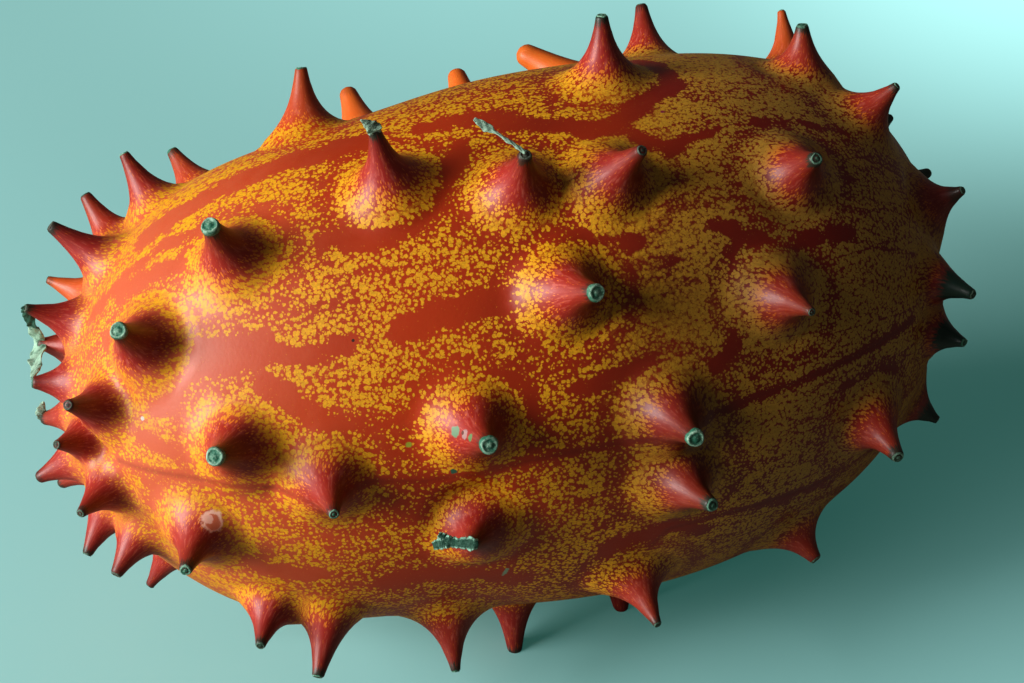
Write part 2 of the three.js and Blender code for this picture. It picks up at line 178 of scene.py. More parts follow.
# Points on a ring: the least, those that a radius up to 1 mm adds, and those for each mm
RING_SIDES = (14, 14, 3)
RING_SHARE = 0.46
RING_GAP = 0.3
SKIN_CLEARANCE = 0.7
CREASE_CLEARANCE = 0.42

# Bare paths between the speckled bands: half width in mm, then longitude and station of each bend
BARE_PATHS = [
    (2.2, [(-4, -47), (-5.5, -39), (-5.5, -32), (-4, -26), (-4, -21)]),
    (1.6, [(-3, -14), (-3, -8), (0, -4), (4, 1), (7, 5), (7, 9)]),
    (1.7, [(6, 9), (0, 13), (-5, 17), (-13, 17), (-22, 14)]),
    (1.2, [(10, 11), (15, 14), (11, 20)]),
    (0.7, [(11, 20), (9, 26), (8, 32), (8, 40)]),
    (1.6, [(14, -50), (16, -46), (18, -43)]),
    (1.1, [(10, -54), (8, -50), (6, -46), (8, -42), (12, -38)]),
    (0.5, [(28, -52), (34, -51.5), (42, -50), (48, -48)]),
    (0.9, [(64, -49), (68, -46), (72, -42), (74, -38)]),
    (0.8, [(84, -47), (86, -44), (90, -44), (92, -46)]),
    (1.2, [(10, -37), (12, -33), (17, -31), (22, -31)]),
    (1.3, [(24, -26), (26, -21), (24, -16), (19, -13), (12, -11), (5, -10)]),
    (2.8, [(46, -41), (46, -36), (47, -32)]),
    (1.4, [(47, -32), (49, -28), (47, -24)]),
    (1.8, [(46, -17), (44, -13), (43, -9), (42, -5)]),
    (0.9, [(42, -5), (38.5, -4)]),
    (1.8, [(48, -44), (54, -43), (58, -45)]),
    (1.6, [(53, -33), (58, -30), (63, -27), (65, -24)]),
    (0.6, [(65, -24), (65, -20), (63, -16), (60, -13)]),
    (1.2, [(56, -8), (60, -4), (66, -2.5)]),
    (0.7, [(76, -39), (76, -33), (71, -30)]),
    (1.4, [(97, -36), (104, -34.5), (103, -30), (104.5, -26)]),
    (1.6, [(106, -18), (104.5, -13), (106, -7), (110, -1)]),
    (0.6, [(80.5, -15), (81, -11), (81.5, -7), (84, -4.3), (88, -3.3)]),
    (0.9, [(61.5, 3), (60, 7), (57.5, 11.5)]),
    (0.9, [(38, 21), (48, 21.5), (57, 21.5), (61, 19)]),
    (1.2, [(32, 19), (36, 23), (39, 27), (37, 32), (36, 37)]),
    (1, [(31, -2), (32, 4), (35, 10.5), (39.5, 14)]),
    (0.5, [(70, 19), (68, 27), (66, 33), (63, 40), (60, 46)]),
    (0.7, [(73, 35), (70, 38), (69, 41), (74, 44.5)]),
    (1.4, [(102, 8), (99, 12.5), (97.5, 17.5), (101, 21)]),
    (1.1, [(98.5, 28), (100, 33), (104.5, 38.5)]),
]
# Thin creases in the skin, with painted shade along them
CREASES = [
    [(79, -50), (78, -42), (78, -34), (79, -28), (77, -21), (78, -15), (77, -8), (75, 0), (74, 8), (71, 17)],
    [(71, 17), (68.5, 24), (67.5, 28), (66, 33), (64.5, 38), (62, 43), (60, 47)],
    [(104, 14), (98, 16), (97, 22), (98, 30), (101, 38)],
]
# Scabs, scars and specks on the skin, and a painted highlight on one scar: colour, radius and place, in mm
MARKS_AND_HIGHLIGHT = [
    ((0.13, 0.25, 0.14), 0.7, (-12.6, -32.6, 53.8)),
    ((0.34, 0.2, 0.19), 0.6, (-11.8, -34, 54.4)),
    ((0.1, 0.02, 0.012), 0.3, (-12, -33.6, 54.4)),
    ((0.1, 0.2, 0.08), 0.45, (-11.3, -35.1, 54.9)),
    ((0.02, 0.1, 0.06), 0.42, (-12.8, -32.1, 47.2)),
    ((0.85, 0.48, 0.36), 1.4, (-40.8, -27.2, 39.8)),
    ((0.55, 0.13, 0.06), 1, (-40.7, -27.4, 39.6)),
    # painted highlight on the scar's side toward the lamp
    ((0.8, 0.42, 0.32), 0.55, (-41.2, -27.1, 39.9)),
    ((0.62, 0.55, 0.5), 0.28, (-47.3, -18.3, 49.1)),
    ((0.24, 0.32, 0.2), 0.27, (-6.6, -32.3, 30)),
    ((0.24, 0.32, 0.2), 0.33, (-6.75, -32.1, 29.6)),
    ((0.24, 0.32, 0.2), 0.33, (-6.9, -31.95, 29.2)),
    ((0.24, 0.32, 0.2), 0.29, (-7.05, -31.8, 28.8)),
    ((0.03, 0.015, 0.01), 0.18, (-22.5, -22.4, 60.4)),
    ((0.3, 0.34, 0.03), 0.4, (-17.6, -30, 50.3)),
    ((0.2, 0.01, 0.04), 0.24, (18.3, -2, 72.9)),
]
# Distances between points along a bare path, along a crease, and along the rows of skin points by it
PATH_SPACING = 0.7
CREASE_SPACING = 0.25
CREASE_POINT_SPACING = 0.45
CREASE_POINT_OFFSETS = (-0.9, -0.45, 0, 0.45, 0.9)
# How orange some spines are, by place: a painted glow of light that shines through them from behind; the
# others are red
BACKLIT_GLOW = {
    (-68, -18): 0.7,
    (-69, -3.5): 0.85,
    (-62, 11): 0.85,
    (-46, 37.5): 0.4,
    (-66, -40): 0.18,
    (-43, -50.5): 0.1,
    (-72, -53.6): 0.45,
    (-29, -27): 0.25,
}
# How orange the others are at most; past a station the spines are withered, by a least and a further share
USUAL_GLOW = 0.08
WITHERED_FROM = 45
WITHERED = (0.4, 0.6)
# The side turned away has bare paths that wind lengthwise between its rows of spines.
FAR_PATHS = (-74, -98, -122, -148, -176, 145)
FAR_PATH_REACH = 50
FAR_PATH_SWAY = 5
FAR_PATH_WAVE = 9
FAR_PATH_SHIFT = 2.4
FAR_PATH_STEPS = 15
FAR_PATH_HALF_WIDTH = 1.6

# Colours of small parts of the rind and of the cups
SKIN_GRAIN = (0.36, 0.01, 0.006)
STALK_END_SPINE_SHADE = (0.05, 0.009, 0.005)
# Painted shade on the spines round the stalk end
CREASE_SHADE = (0.09, 0.006, 0.004)
# Painted shade along the creases
COLLAR_BROWN = (0.025, 0.01, 0.007)
COLLAR_GREEN = (0.003, 0.024, 0.015)
DRY_TIP = (0.03, 0.02, 0.012)

# The lamp: azimuth and elevation in degrees, distance and size in m, and tint
KEY_ANGLES = (-84, 22)
KEY_DISTANCE = 0.95
KEY_SIZE = 0.55
KEY_TINT = (1.0, 0.97, 0.94)
SKY_TINT = (1.0, 0.94, 0.88, 1)
FLOOR_REACH = 3
SENSOR_WIDTH = 36
# How far below the skin's middle the camera aims, in mm
AIM_DROP = 1.1
# Pools of light on the floor: middle, distances from full to none in m, and strength
POOLS = [
    ((0.15, 0.14, 0), 0.01, 0.105, 0.9),
    ((0.07, 0.2, 0), 0.02, 0.16, 0.42),
    ((0.1, -0.07, 0), 0.03, 0.09, 0.16),
]

# What is added to a spine's number for each of its random draws
TONE_SEED = 7
CUP_SEED = 40
TIP_SEED = 90

RADIANS = math.pi / 180
GOLDEN_ANGLE = math.pi * (3 - math.sqrt(5))


def draw(seed):
    """A repeatable fraction from 0 to 1 for each whole number."""
    value = math.sin(seed * 12.9898) * 43758.5453
    return value - math.floor(value)


class Skin:
    """The bare skin as a rule: places to points, and back."""

    def __init__(self, length, diameter):
        self.half = length / 2
        self.belly = diameter / 2
        step = math.pi / OUTLINE_STEPS
        edges = self.station_at_angle((np.arange(OUTLINE_STEPS + 1)) * step)
        radii = self.radius(edges)
        middles = np.maximum(self.radius((edges[1:] + edges[:-1]) / 2), 1e-6)
        lengths = np.hypot(np.diff(edges), np.diff(radii))
        self.angles = (np.arange(OUTLINE_STEPS) + 0.5) * step
        self.area = np.cumsum(lengths * middles)
        latitude = np.cumsum(lengths / middles)
        self.latitude = latitude - latitude[OUTLINE_STEPS // 2]

    def reach(self, along):
        return np.where(along < 0, self.half + WIDEST_STATION, self.half - WIDEST_STATION)

    def radius(self, station):
        along = np.asarray(station, float) - WIDEST_STATION
        fullness = np.where(along < 0, BLOSSOM_FULLNESS, STALK_FULLNESS)
        part = np.minimum(np.abs(along) / self.reach(along), 1)
        return self.belly * (1 - part ** fullness) ** (1 / fullness)

    def swell(self, longitude, station):
        rise = np.zeros(np.broadcast(longitude, station).shape)
        for at_station, at_longitude, half_length, half_width, height in SWELLS:
            along = (station - at_station) / half_length
            round_ = ((longitude - at_longitude + 540) % 360 - 180) / half_width
            rise = rise + height * np.exp(-along ** 2 - round_ ** 2)
        return rise * np.minimum(self.radius(station) / SWELL_FADE_RADIUS, 1)

    def point(self, longitude, station):
        longitude, station = np.asarray(longitude, float), np.asarray(station, float)
        radius = self.radius(station) + self.swell(longitude, station)
        angle = longitude * RADIANS
        x = station + SKEW * radius * np.cos(angle - SKEW_LONGITUDE * RADIANS)
        local = np.stack([x, -radius * np.sin(angle), radius * np.cos(angle)], -1)
        return local + SKIN_MIDDLE

    def normal(self, longitude, station, step=0.05):
        along = self.point(longitude, station + step) - self.point(longitude, station - step)
        across = self.point(longitude + step, station) - self.point(longitude - step, station)
        normal = np.cross(across, along)
        return normal / np.linalg.norm(normal, axis=-1, keepdims=True)

    def angle_at_station(self, station, radius=None):
        along = station - WIDEST_STATION
        radius = self.radius(station) if radius is None else radius
        return np.arctan2(radius / self.belly, -along / self.reach(along))

    def station_at_angle(self, angle):
        along, across = -np.cos(angle), np.abs(np.sin(angle))
        fullness = np.where(along < 0, BLOSSOM_FULLNESS, STALK_FULLNESS)
        size = (np.abs(along) ** fullness + across ** fullness) ** (-1 / fullness)
        return WIDEST_STATION + self.reach(along) * size * along

    def place_under(self, point):
        """The place on the skin under a point near it."""
        local = point - SKIN_MIDDLE
        radius = np.hypot(local[..., 1], local[..., 2])
        longitude = np.arctan2(-local[..., 1], local[..., 2]) / RADIANS
        station = local[..., 0] - SKEW * radius * np.cos((longitude - SKEW_LONGITUDE) * RADIANS)
        plain = np.maximum(radius - self.swell(longitude, station), 0)
        return longitude, self.station_at_angle(self.angle_at_station(station, plain))

    def chart(self, longitude, station):
        """Places on a flat chart that keeps small shapes, with the blossom end at its middle."""
        latitude = np.interp(self.angle_at_station(station), self.angles, self.latitude)
        out = np.exp(latitude)
        angle = np.asarray(longitude) * RADIANS
        return np.stack([out * np.cos(angle), out * np.sin(angle)], -1)

    def even_places(self, number):
        """Places spread evenly over the skin."""
        count = np.arange(number)
        angle = np.interp((count + 0.5) / number * self.area[-1], self.area, self.angles)
        longitude = (count * GOLDEN_ANGLE / RADIANS + 180) % 360 - 180
        return longitude, self.station_at_angle(angle)


class Spine:
    """Root, directions and size of one spine."""

    def __init__(self, skin, longitude, station, length, along=0, round_=0, rests=False):
        self.longitude, self.station = longitude, station
        self.root = skin.point(longitude, station)
        self.normal = skin.normal(longitude, station)
        step = skin.point(longitude, station + 0.1) - skin.point(longitude, station - 0.1)
        step = step - step.dot(self.normal) * self.normal
        self.lengthwise = step / np.linalg.norm(step)
        self.crosswise = np.cross(self.lengthwise, self.normal)
        self.lean = along * self.lengthwise + round_ * self.crosswise
        self.length = length
        self.rests = rests

    def length_to_height(self, height):
        return (height - self.root[2] - self.lean[2]) / self.normal[2]

    def tip(self):
        return self.root + self.normal * self.length + self.lean

    def tip_direction(self):
        direction = self.normal + self.lean * BEND_POWER / self.length
        return direction / np.linalg.norm(direction)


def far_spines(skin, others):
    """Staggered rows over the side turned away, with small repeatable shifts."""
    spines = [Spine(skin, *values) for values in FAR_END_SPINES]
    seed = 1
    for row, row_longitude in enumerate(FAR_ROWS):
        first = FAR_ROW_FIRST + row % 2 * FAR_ROW_STAGGER
        for station in range(first, FAR_ROW_LAST + 1, FAR_ROW_PITCH):
            shift = (draw(seed) - 0.5) * 2 * FAR_JITTER_STATION
            at_station = min(station + shift, FAR_ROW_LAST)
            at_longitude = row_longitude + (draw(seed + 1) - 0.5) * 2 * FAR_JITTER_LONGITUDE
            length = FAR_LENGTH + (draw(seed + 2) - 0.5) * 2 * FAR_LENGTH_JITTER
            seed += 3
            spine = Spine(skin, at_longitude, at_station, length)
            gaps = [np.linalg.norm(other.root - spine.root) for other in others + spines]
            if min(gaps) >= FAR_SPACING:
                spines.append(spine)
    return spines


def all_spines(skin, widest_foot):
    """Every spine, with the reach of its foot set by its nearest neighbour."""
    spines = []
    for longitude, station in RESTING_SPINES:
        spine = Spine(skin, longitude, station, 1, rests=True)
        spine.length = spine.length_to_height(-REST_BITE)
        spines.append(spine)
    seen = SEEN_SPINES + [SCRAP_SPINE, STRAND_SPINE] + REMAINS_SPINES
    spines += [Spine(skin, *values) for values in seen]
    spines += far_spines(skin, spines)
    for spine in spines:
        if not spine.rests and spine.normal[2] < 0:
            spine.length = min(spine.length, spine.length_to_height(TABLE_CLEARANCE))
        gaps = [np.linalg.norm(o.root - spine.root) for o in spines if o is not spine]
        spine.gap = min(gaps)
        spine.foot = min(widest_foot, FOOT_SHARE * spine.gap)
    return spines


class RindSizes(bpy.types.PropertyGroup):
    """Sizes of the fruit's skin and spines."""

    length: bpy.props.FloatProperty(
        name="Length", description="Length of the bare skin", default=112 * MM,
        min=0.05, max=0.2, unit="LENGTH")
    diameter: bpy.props.FloatProperty(
        name="Diameter", description="Thickness of the bare skin at its widest", default=68 * MM,
        min=0.03, max=0.12, unit="LENGTH")
    tip_radius: bpy.props.FloatProperty(
        name="Spine tip radius", description="Radius of the blunt tip of a usual spine", default=0.74 * MM,
        min=0.0002, max=0.003, unit="LENGTH")
    neck: bpy.props.FloatProperty(
        name="Spine neck", description="How slowly a spine widens below its tip", default=NECK * MM,
        min=0.0002, max=0.004, unit="LENGTH")
    foot_radius: bpy.props.FloatProperty(
        name="Spine foot radius", description="Widest reach of a spine's flared foot",
        default=WIDEST_FOOT * MM, min=0.002, max=0.012, unit="LENGTH")
    skin_points: bpy.props.IntProperty(
        name="Skin points", description="Points spread over the skin between the spines",
        default=24000, min=4000, max=40000)
    fleck_size: bpy.props.FloatProperty(
        name="Fleck size", description="Size of one yellow fleck", default=0.47 * MM,
        min=0.0002, max=0.003, unit="LENGTH")


class RindColours(bpy.types.PropertyGroup):
    """Colours of the rind."""

    bright: bpy.props.FloatVectorProperty(
        name="Bright skin", description="Bare skin near the blossom end", subtype="COLOR",
        default=(0.55, 0.046, 0.003), min=0, max=1)
    blush: bpy.props.FloatVectorProperty(
        name="Pale skin", description="Bare skin round the blossom end", subtype="COLOR",
        default=(0.62, 0.13, 0.05), min=0, max=1)
    # Deep skin toward the stalk end: partly its own colour, partly painted shade
    deep: bpy.props.FloatVectorProperty(
        name="Deep skin", description="Bare skin toward the stalk end", subtype="COLOR",
        default=(0.15, 0.0052, 0.0012), min=0, max=1)
    spine: bpy.props.FloatVectorProperty(
        name="Spines", description="Upper part of the spines", subtype="COLOR",
        default=(0.33, 0.014, 0.01), min=0, max=1)
    fleck: bpy.props.FloatVectorProperty(
        name="Flecks", description="Yellow flecks", subtype="COLOR",
        default=(0.88, 0.41, 0.007), min=0, max=1)
    # Dull flecks toward the stalk end: partly their own colour, partly painted shade
    dull: bpy.props.FloatVectorProperty(
        name="Dull flecks", description="Flecks toward the stalk end", subtype="COLOR",
        default=(0.5, 0.26, 0.03), min=0, max=1)
    ember: bpy.props.FloatVectorProperty(
        name="Spine flecks", description="Flecks where they climb a spine", subtype="COLOR",
        default=(0.75, 0.17, 0.012), min=0, max=1)
    strand: bpy.props.FloatVectorProperty(
        name="Spine streaks", description="Pale streaks that run up a spine", subtype="COLOR",
        default=(0.6, 0.13, 0.09), min=0, max=1)
    # Painted glow of light through some spines from behind, and a small random orange tone on the others
    painted_glow: bpy.props.FloatVectorProperty(
        name="Young spines", description="Young spines, which are still orange", subtype="COLOR",
        default=(0.85, 0.17, 0.015), min=0, max=1)


class ScrapColours(bpy.types.PropertyGroup):
    """Colours of the dry pieces."""

    paper: bpy.props.FloatVectorProperty(
        name="Dried flower", description="Papery remains of the flower", subtype="COLOR",
        default=(0.38, 0.62, 0.46), min=0, max=1)
    green: bpy.props.FloatVectorProperty(
        name="Tip hollow", description="Dark green of the spine tips", subtype="COLOR",
        default=(0.02, 0.15, 0.09), min=0, max=1)
    wood: bpy.props.FloatVectorProperty(
        name="Stalk", description="Dry wood of the stalk", subtype="COLOR",
        default=(0.27, 0.19, 0.1), min=0, max=1)


class StageSettings(bpy.types.PropertyGroup):
    """Camera, light and floor."""

    azimuth: bpy.props.FloatProperty(
        name="Azimuth", description="Camera's turn round the fruit", default=math.radians(-11),
        subtype="ANGLE")
    elevation: bpy.props.FloatProperty(
        name="Elevation", description="Camera's height over the horizon", default=math.radians(40),
        subtype="ANGLE")
    distance: bpy.props.FloatProperty(
        name="Distance", description="From the camera to the fruit's middle", default=277.6 * MM,
        unit="LENGTH")
    field: bpy.props.FloatProperty(
        name="Field of view", description="Angle that the picture is wide", default=math.radians(27),
        subtype="ANGLE")
    floor: bpy.props.FloatVectorProperty(
        name="Floor", description="Colour of the floor", subtype="COLOR",
        default=(0.33, 0.65, 0.65), min=0, max=1)
    haze: bpy.props.FloatVectorProperty(
        name="Floor haze", description="Light that the shaded floor gives", subtype="COLOR",
        default=(0.008, 0.068, 0.056), min=0, max=1)
    pool: bpy.props.FloatVectorProperty(
        name="Floor pool", description="Pools of light on the floor round the fruit", subtype="COLOR",
        default=(0.36, 0.7, 0.7), min=0, max=1)
    bounce: bpy.props.FloatVectorProperty(
        name="Floor bounce", description="Colour that the floor throws back on the fruit", subtype="COLOR",
        default=(0.2, 0.22, 0.18), min=0, max=1)
    key_power: bpy.props.FloatProperty(
        name="Key light", description="Power of the main soft light", default=16.4, unit="POWER")
    fill: bpy.props.FloatProperty(
        name="Fill light", description="Strength of the light from all round", default=0.07)


PROPERTIES = {
    "melon_rind": RindSizes,
    "melon_colours": RindColours,
    "melon_scraps": ScrapColours,
    "melon_stage": StageSettings,
}


class Value:
    """One output in a node tree. Arithmetic with it adds the nodes that work it out."""

    def __init__(self, tree, socket):
        self.tree, self.socket = tree, socket
        self.is_vector = socket.type in ("VECTOR", "RGBA")

    def __add__(self, other):
        return self.tree.combine("ADD", self, other)

    def __radd__(self, other):
        return self.tree.combine("ADD", other, self)

    def __sub__(self, other):
        return self.tree.combine("SUBTRACT", self, other)

    def __rsub__(self, other):
        return self.tree.combine("SUBTRACT", other, self)

    def __mul__(self, other):
        return self.tree.combine("MULTIPLY", self, other)

    def __rmul__(self, other):
        return self.tree.combine("MULTIPLY", other, self)

    def __truediv__(self, other):
        return self.tree.combine("DIVIDE", self, other)

    def __rtruediv__(self, other):
        return self.tree.combine("DIVIDE", other, self)

    def __pow__(self, other):
        return self.tree.combine("POWER", self, other)


class Tree:
    """Adds nodes to a tree. Where a plain value stands in place of an output, it is set on the input."""

    def __init__(self, tree):
        self.tree = tree

    def feed(self, socket, value):
        if isinstance(value, Value):
            self.tree.links.new(value.socket, socket)
        else:
            socket.default_value = value

    def node(self, kind, inputs=None, **settings):
        node = self.tree.nodes.new(kind)
        node.location = (180 * (len(self.tree.nodes) % 12), -260 * (len(self.tree.nodes) // 12))
        for name, value in settings.items():
            setattr(node, name, value)
        for key, value in (inputs or {}).items():
            self.feed(node.inputs[key], value)
        return node

    def make(self, kind, output, inputs=None, **settings):
        """Adds a node, and gives one of its outputs."""
        return Value(self, self.node(kind, inputs, **settings).outputs[output])

    def math(self, operation, *values, clamp=False):
        return self.make("ShaderNodeMath", 0, dict(enumerate(values)), operation=operation, use_clamp=clamp)

    def vector(self, operation, *values):
        single = operation in ("LENGTH", "DISTANCE", "DOT_PRODUCT")
        output = "Value" if single else "Vector"
        return self.make("ShaderNodeVectorMath", output, dict(enumerate(values)), operation=operation)

    def combine(self, operation, first, second):
        """Arithmetic on two numbers, on two vectors, or on a vector with a number after it."""
        is_vector = [isinstance(side, tuple) or getattr(side, "is_vector", False) for side in (first, second)]
        if not is_vector[0]:
            return self.math(operation, first, second)
        if is_vector[1]:
            return self.vector(operation, first, second)
        factor = second if operation == "MULTIPLY" else 1 / second
        return self.make("ShaderNodeVectorMath", "Vector", {0: first, "Scale": factor}, operation="SCALE")

    def ramp(self, value, low, high, to_low=0.0, to_high=1.0, smooth=True):
        """Value carried from one range to another, and held at its ends."""
        inputs = {"Value": value, "From Min": low, "From Max": high, "To Min": to_low, "To Max": to_high}
        kind = "SMOOTHSTEP" if smooth else "LINEAR"
        return self.make("ShaderNodeMapRange", "Result", inputs, interpolation_type=kind)

    def mix(self, factor, first, second):
        """Mixed colour. The mix node has sockets of one name for each kind, so they go by number."""
        return self.make("ShaderNodeMix", 2, {0: factor, 6: first, 7: second}, data_type="RGBA")

    def blend(self, factor, first, second):
        """Mixed number."""
        return self.make("ShaderNodeMix", 0, {0: factor, 2: first, 3: second})

    def noise(self, vector, scale, detail=2.0, roughness=0.5, output="Fac"):
        inputs = {"Vector": vector, "Scale": scale, "Detail": detail, "Roughness": roughness}
        return self.make("ShaderNodeTexNoise", output, inputs)

    def parts(self, vector):
        """The x, y and z of a vector."""
        return [Value(self, part) for part in self.node("ShaderNodeSeparateXYZ", {0: vector}).outputs]


def colour(values):
    return (*values, 1.0)


def darker(values, share):
    return [value * share for value in values]


def new_group(name, kind, inputs, outputs):
    """A node group with its sockets: (name, socket type, default)."""
    group = bpy.data.node_groups.new(name, kind)
    for socket_name, socket_type, default in inputs:
        socket = group.interface.new_socket(name=socket_name, in_out="INPUT", socket_type=socket_type)
        if default is not None:
            socket.default_value = default
    for socket_name, socket_type in outputs:
        group.interface.new_socket(name=socket_name, in_out="OUTPUT", socket_type=socket_type)
    tree = Tree(group)
    sockets = tree.node("NodeGroupInput").outputs
    source = {socket.name: Value(tree, socket) for socket in sockets if socket.name}
    target = tree.node("NodeGroupOutput").inputs
    return group, tree, source, target


def mesh_object(name, points, faces=(), attributes=None):
    """An object with its place in its mesh; attributes maps a name to one value for each point."""
    mesh = bpy.data.meshes.new(name)
    mesh.from_pydata([tuple(p) for p in np.asarray(points, float)], [], [list(f) for f in faces])
    for key, values in (attributes or {}).items():
        values = np.asarray(values, np.float32)
        kind = "FLOAT_VECTOR" if values.ndim == 2 else "FLOAT"
        layer = mesh.attributes.new(key, kind, "POINT")
        layer.data.foreach_set("vector" if values.ndim == 2 else "value", values.ravel())
    mesh.update()
    obj = bpy.data.objects.new(name, mesh)
    bpy.context.scene.collection.objects.link(obj)
    return obj


def apply_nodes(obj, group, values, name):
    """Runs a geometry tree on an object, and returns its result as a plain mesh object."""
    modifier = obj.modifiers.new("Nodes", "NODES")
    modifier.node_group = group
    for item in group.interface.items_tree:
        if item.item_type == "SOCKET" and item.in_out == "INPUT" and item.name in values:
            modifier[item.identifier] = values[item.name]
    bpy.context.view_layer.update()
    result = obj.evaluated_get(bpy.context.evaluated_depsgraph_get())
    mesh = bpy.data.meshes.new_from_object(result, preserve_all_data_layers=True,
                                           depsgraph=bpy.context.evaluated_depsgraph_get())
    mesh.name = name
    obj.modifiers.remove(modifier)
    made = bpy.data.objects.new(name, mesh)
    bpy.context.scene.collection.objects.link(made)
    return made


def discard(*objects):
    for obj in objects:
        mesh = obj.data
        bpy.data.objects.remove(obj)
        bpy.data.meshes.remove(mesh)


def finish_piece(obj, node):
    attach(obj, ROOT)
    if node:
        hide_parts(node)


def distances_to(points, others):
    """How far each point is from the nearest of the others."""
    tree = KDTree(len(others))
    for number, other in enumerate(others):
        tree.insert(other, number)
    tree.balance()
    return np.array([tree.find(point)[2] for point in points])


def crease_places(skin, spines):
    """Places along both sides of every crease, so that its edges are smooth; none among the
    rings of points round a spine."""
    places = []
    for bends in CREASES:
        line = path_points(skin, bends, CREASE_POINT_SPACING)
        along = np.gradient(line, axis=0)
        outward = line - SKIN_MIDDLE
        across = np.cross(along, outward)
        across /= np.linalg.norm(across, axis=1, keepdims=True)
        for offset in CREASE_POINT_OFFSETS:
            places.append(np.stack(skin.place_under(line + offset * across), -1))
    places = np.concatenate(places)
    points = skin.point(*places.T)
    clear = np.ones(len(points), bool)
    for spine in spines:
        clear &= np.linalg.norm(points - spine.root, axis=1) > spine.ring_reach + CREASE_CLEARANCE
    return places[clear]


def ring_places(skin, spine):
    """Places in rings round a spine's root, out to a share of the gap to its neighbour."""
    widest = RING_SHARE * spine.gap
    stretch = spine.tip_radius / REST_RADIUS
    rings = [radius * (stretch if radius < TIP_RINGS_END else 1) for radius in SPINE_RINGS]
    rings = [radius for radius in rings if radius < widest - RING_GAP]
    if widest < SPINE_RINGS[-1]:
        rings.append(widest)
    spine.ring_reach = rings[-1]
    places = [np.array([[spine.longitude, spine.station]])]
    least, near, further = RING_SIDES
    for ring, radius in enumerate(rings):
        sides = round(least + near * min(radius, 1) + further * radius)
        angles = (np.arange(sides) + ring % 2 / 2) / sides * 2 * math.pi
        flat = spine.root + radius * (np.cos(angles)[:, None] * spine.lengthwise
                                      + np.sin(angles)[:, None] * spine.crosswise)
        places.append(np.stack(skin.place_under(flat), -1))
    return places


def chart_faces(chart):
    """Triangles over the chart's points, and a fan to one more point that closes the hole round them."""
    made = delaunay_2d_cdt([Vector(p) for p in chart], [], [], 0, 1e-9)
    order = [sources[0] for sources in made[3]]
    faces = [[order[i] for i in face] for face in made[2]]
    edges = {(face[i], face[i - 1]) for face in faces for i in range(3)}
    rim = [(b, a) for a, b in edges if (b, a) not in edges]
    return faces + [[b, a, len(chart)] for a, b in rim]


def bare_skin(skin, spines, skin_points):
    """Closed mesh of the bare skin, with rings of points round the root of every spine."""
    places = []
    for spine in spines:
        places += ring_places(skin, spine)
    lines = crease_places(skin, spines)
    longitude, station = skin.even_places(skin_points)
    points = skin.point(longitude, station)
    clear = distances_to(points, skin.point(*lines.T)) > CREASE_CLEARANCE
    places.append(lines)
    for spine in spines:
        clear &= np.linalg.norm(points - spine.root, axis=1) > spine.ring_reach + SKIN_CLEARANCE
    places.append(np.stack([longitude[clear], station[clear]], -1))
    places = np.concatenate(places)
    faces = chart_faces(skin.chart(*places.T))
    stalk_end = skin.point(0, skin.half)
    points = np.concatenate([skin.point(*places.T), stalk_end[None]])
    first = points[faces[0]]
    facing = np.cross(first[1] - first[0], first[2] - first[0]).dot(first[0] - SKIN_MIDDLE)
    if facing < 0:
        faces = [face[::-1] for face in faces]
    return mesh_object("bare_skin", points * MM, faces)


def path_points(skin, bends, spacing):
    """Points close together along a path over the skin."""
    bends = np.array(bends, float)
    steps = np.linalg.norm(np.diff(skin.point(bends[:, 0], bends[:, 1]), axis=0), axis=1)
    along = np.concatenate([[0], np.cumsum(steps)])
    marks = np.arange(0, along[-1], spacing)
    return skin.point(np.interp(marks, along, bends[:, 0]), np.interp(marks, along, bends[:, 1]))


def bare_paths(skin):
    """Points along every bare path, with the path's half width."""
    paths = list(BARE_PATHS)
    stations = np.linspace(-FAR_PATH_REACH, FAR_PATH_REACH, FAR_PATH_STEPS)
    for number, longitude in enumerate(FAR_PATHS):
        sway = FAR_PATH_SWAY * np.sin(stations / FAR_PATH_WAVE + FAR_PATH_SHIFT * number)
        paths.append((FAR_PATH_HALF_WIDTH, list(zip(longitude + sway, stations))))
    points, widths = [], []
    for width, bends in paths:
        line = path_points(skin, bends, PATH_SPACING)
        points.append(line)
        widths.append(np.full(len(line), width))
    return np.concatenate(points), np.concatenate(widths)


def glow_and_tone_of(spine):
    """How orange a spine is, with a painted glow of light through some spines from behind; below 0 it has
    withered.
    """
    chance = draw(spine.number + TONE_SEED)
    if spine.station > WITHERED_FROM:
        least, further = WITHERED
        return -least - further * chance
    return BACKLIT_GLOW.get((spine.longitude, spine.station), USUAL_GLOW * chance)


def rounding_of(spine):
    """How much of a ball's height the tip rises by."""
    if spine.rests:
        return 0.0
    return ROUND_TIP_ROUNDING if spine.round else TIP_ROUNDING


def spine_roots(spines):
    """One point for each root, with what raises its spine."""
    attributes = {
        "stand": [spine.normal for spine in spines],
        "lean": [spine.lean * MM for spine in spines],
        "height": [spine.length * MM for spine in spines],
        "foot": [spine.foot * MM for spine in spines],
        "tone": [glow_and_tone_of(spine) for spine in spines],
        "tip": [spine.tip_radius * MM for spine in spines],
        "dome": [rounding_of(spine) for spine in spines],
    }
    return mesh_object("spine_roots", [spine.root * MM for spine in spines], attributes=attributes)


def named(tree, name, kind="FLOAT"):
    return tree.make("GeometryNodeInputNamedAttribute", "Attribute", {"Name": name}, data_type=kind)


def kind_of(value):
    return "FLOAT_VECTOR" if value.is_vector else "FLOAT"


def sample(tree, geometry, value, index):
    inputs = {"Geometry": geometry, "Value": value, "Index": index}
    return tree.make("GeometryNodeSampleIndex", "Value", inputs, data_type=kind_of(value), domain="POINT")


def store(tree, geometry, name, value):
    inputs = {"Geometry": geometry, "Name": name, "Value": value}
    return tree.make("GeometryNodeStoreNamedAttribute", "Geometry", inputs, data_type=kind_of(value),
                     domain="POINT")


def grouped(tree, group, inputs, kind="ShaderNodeGroup"):
    return tree.make(kind, 0, inputs, node_tree=group)


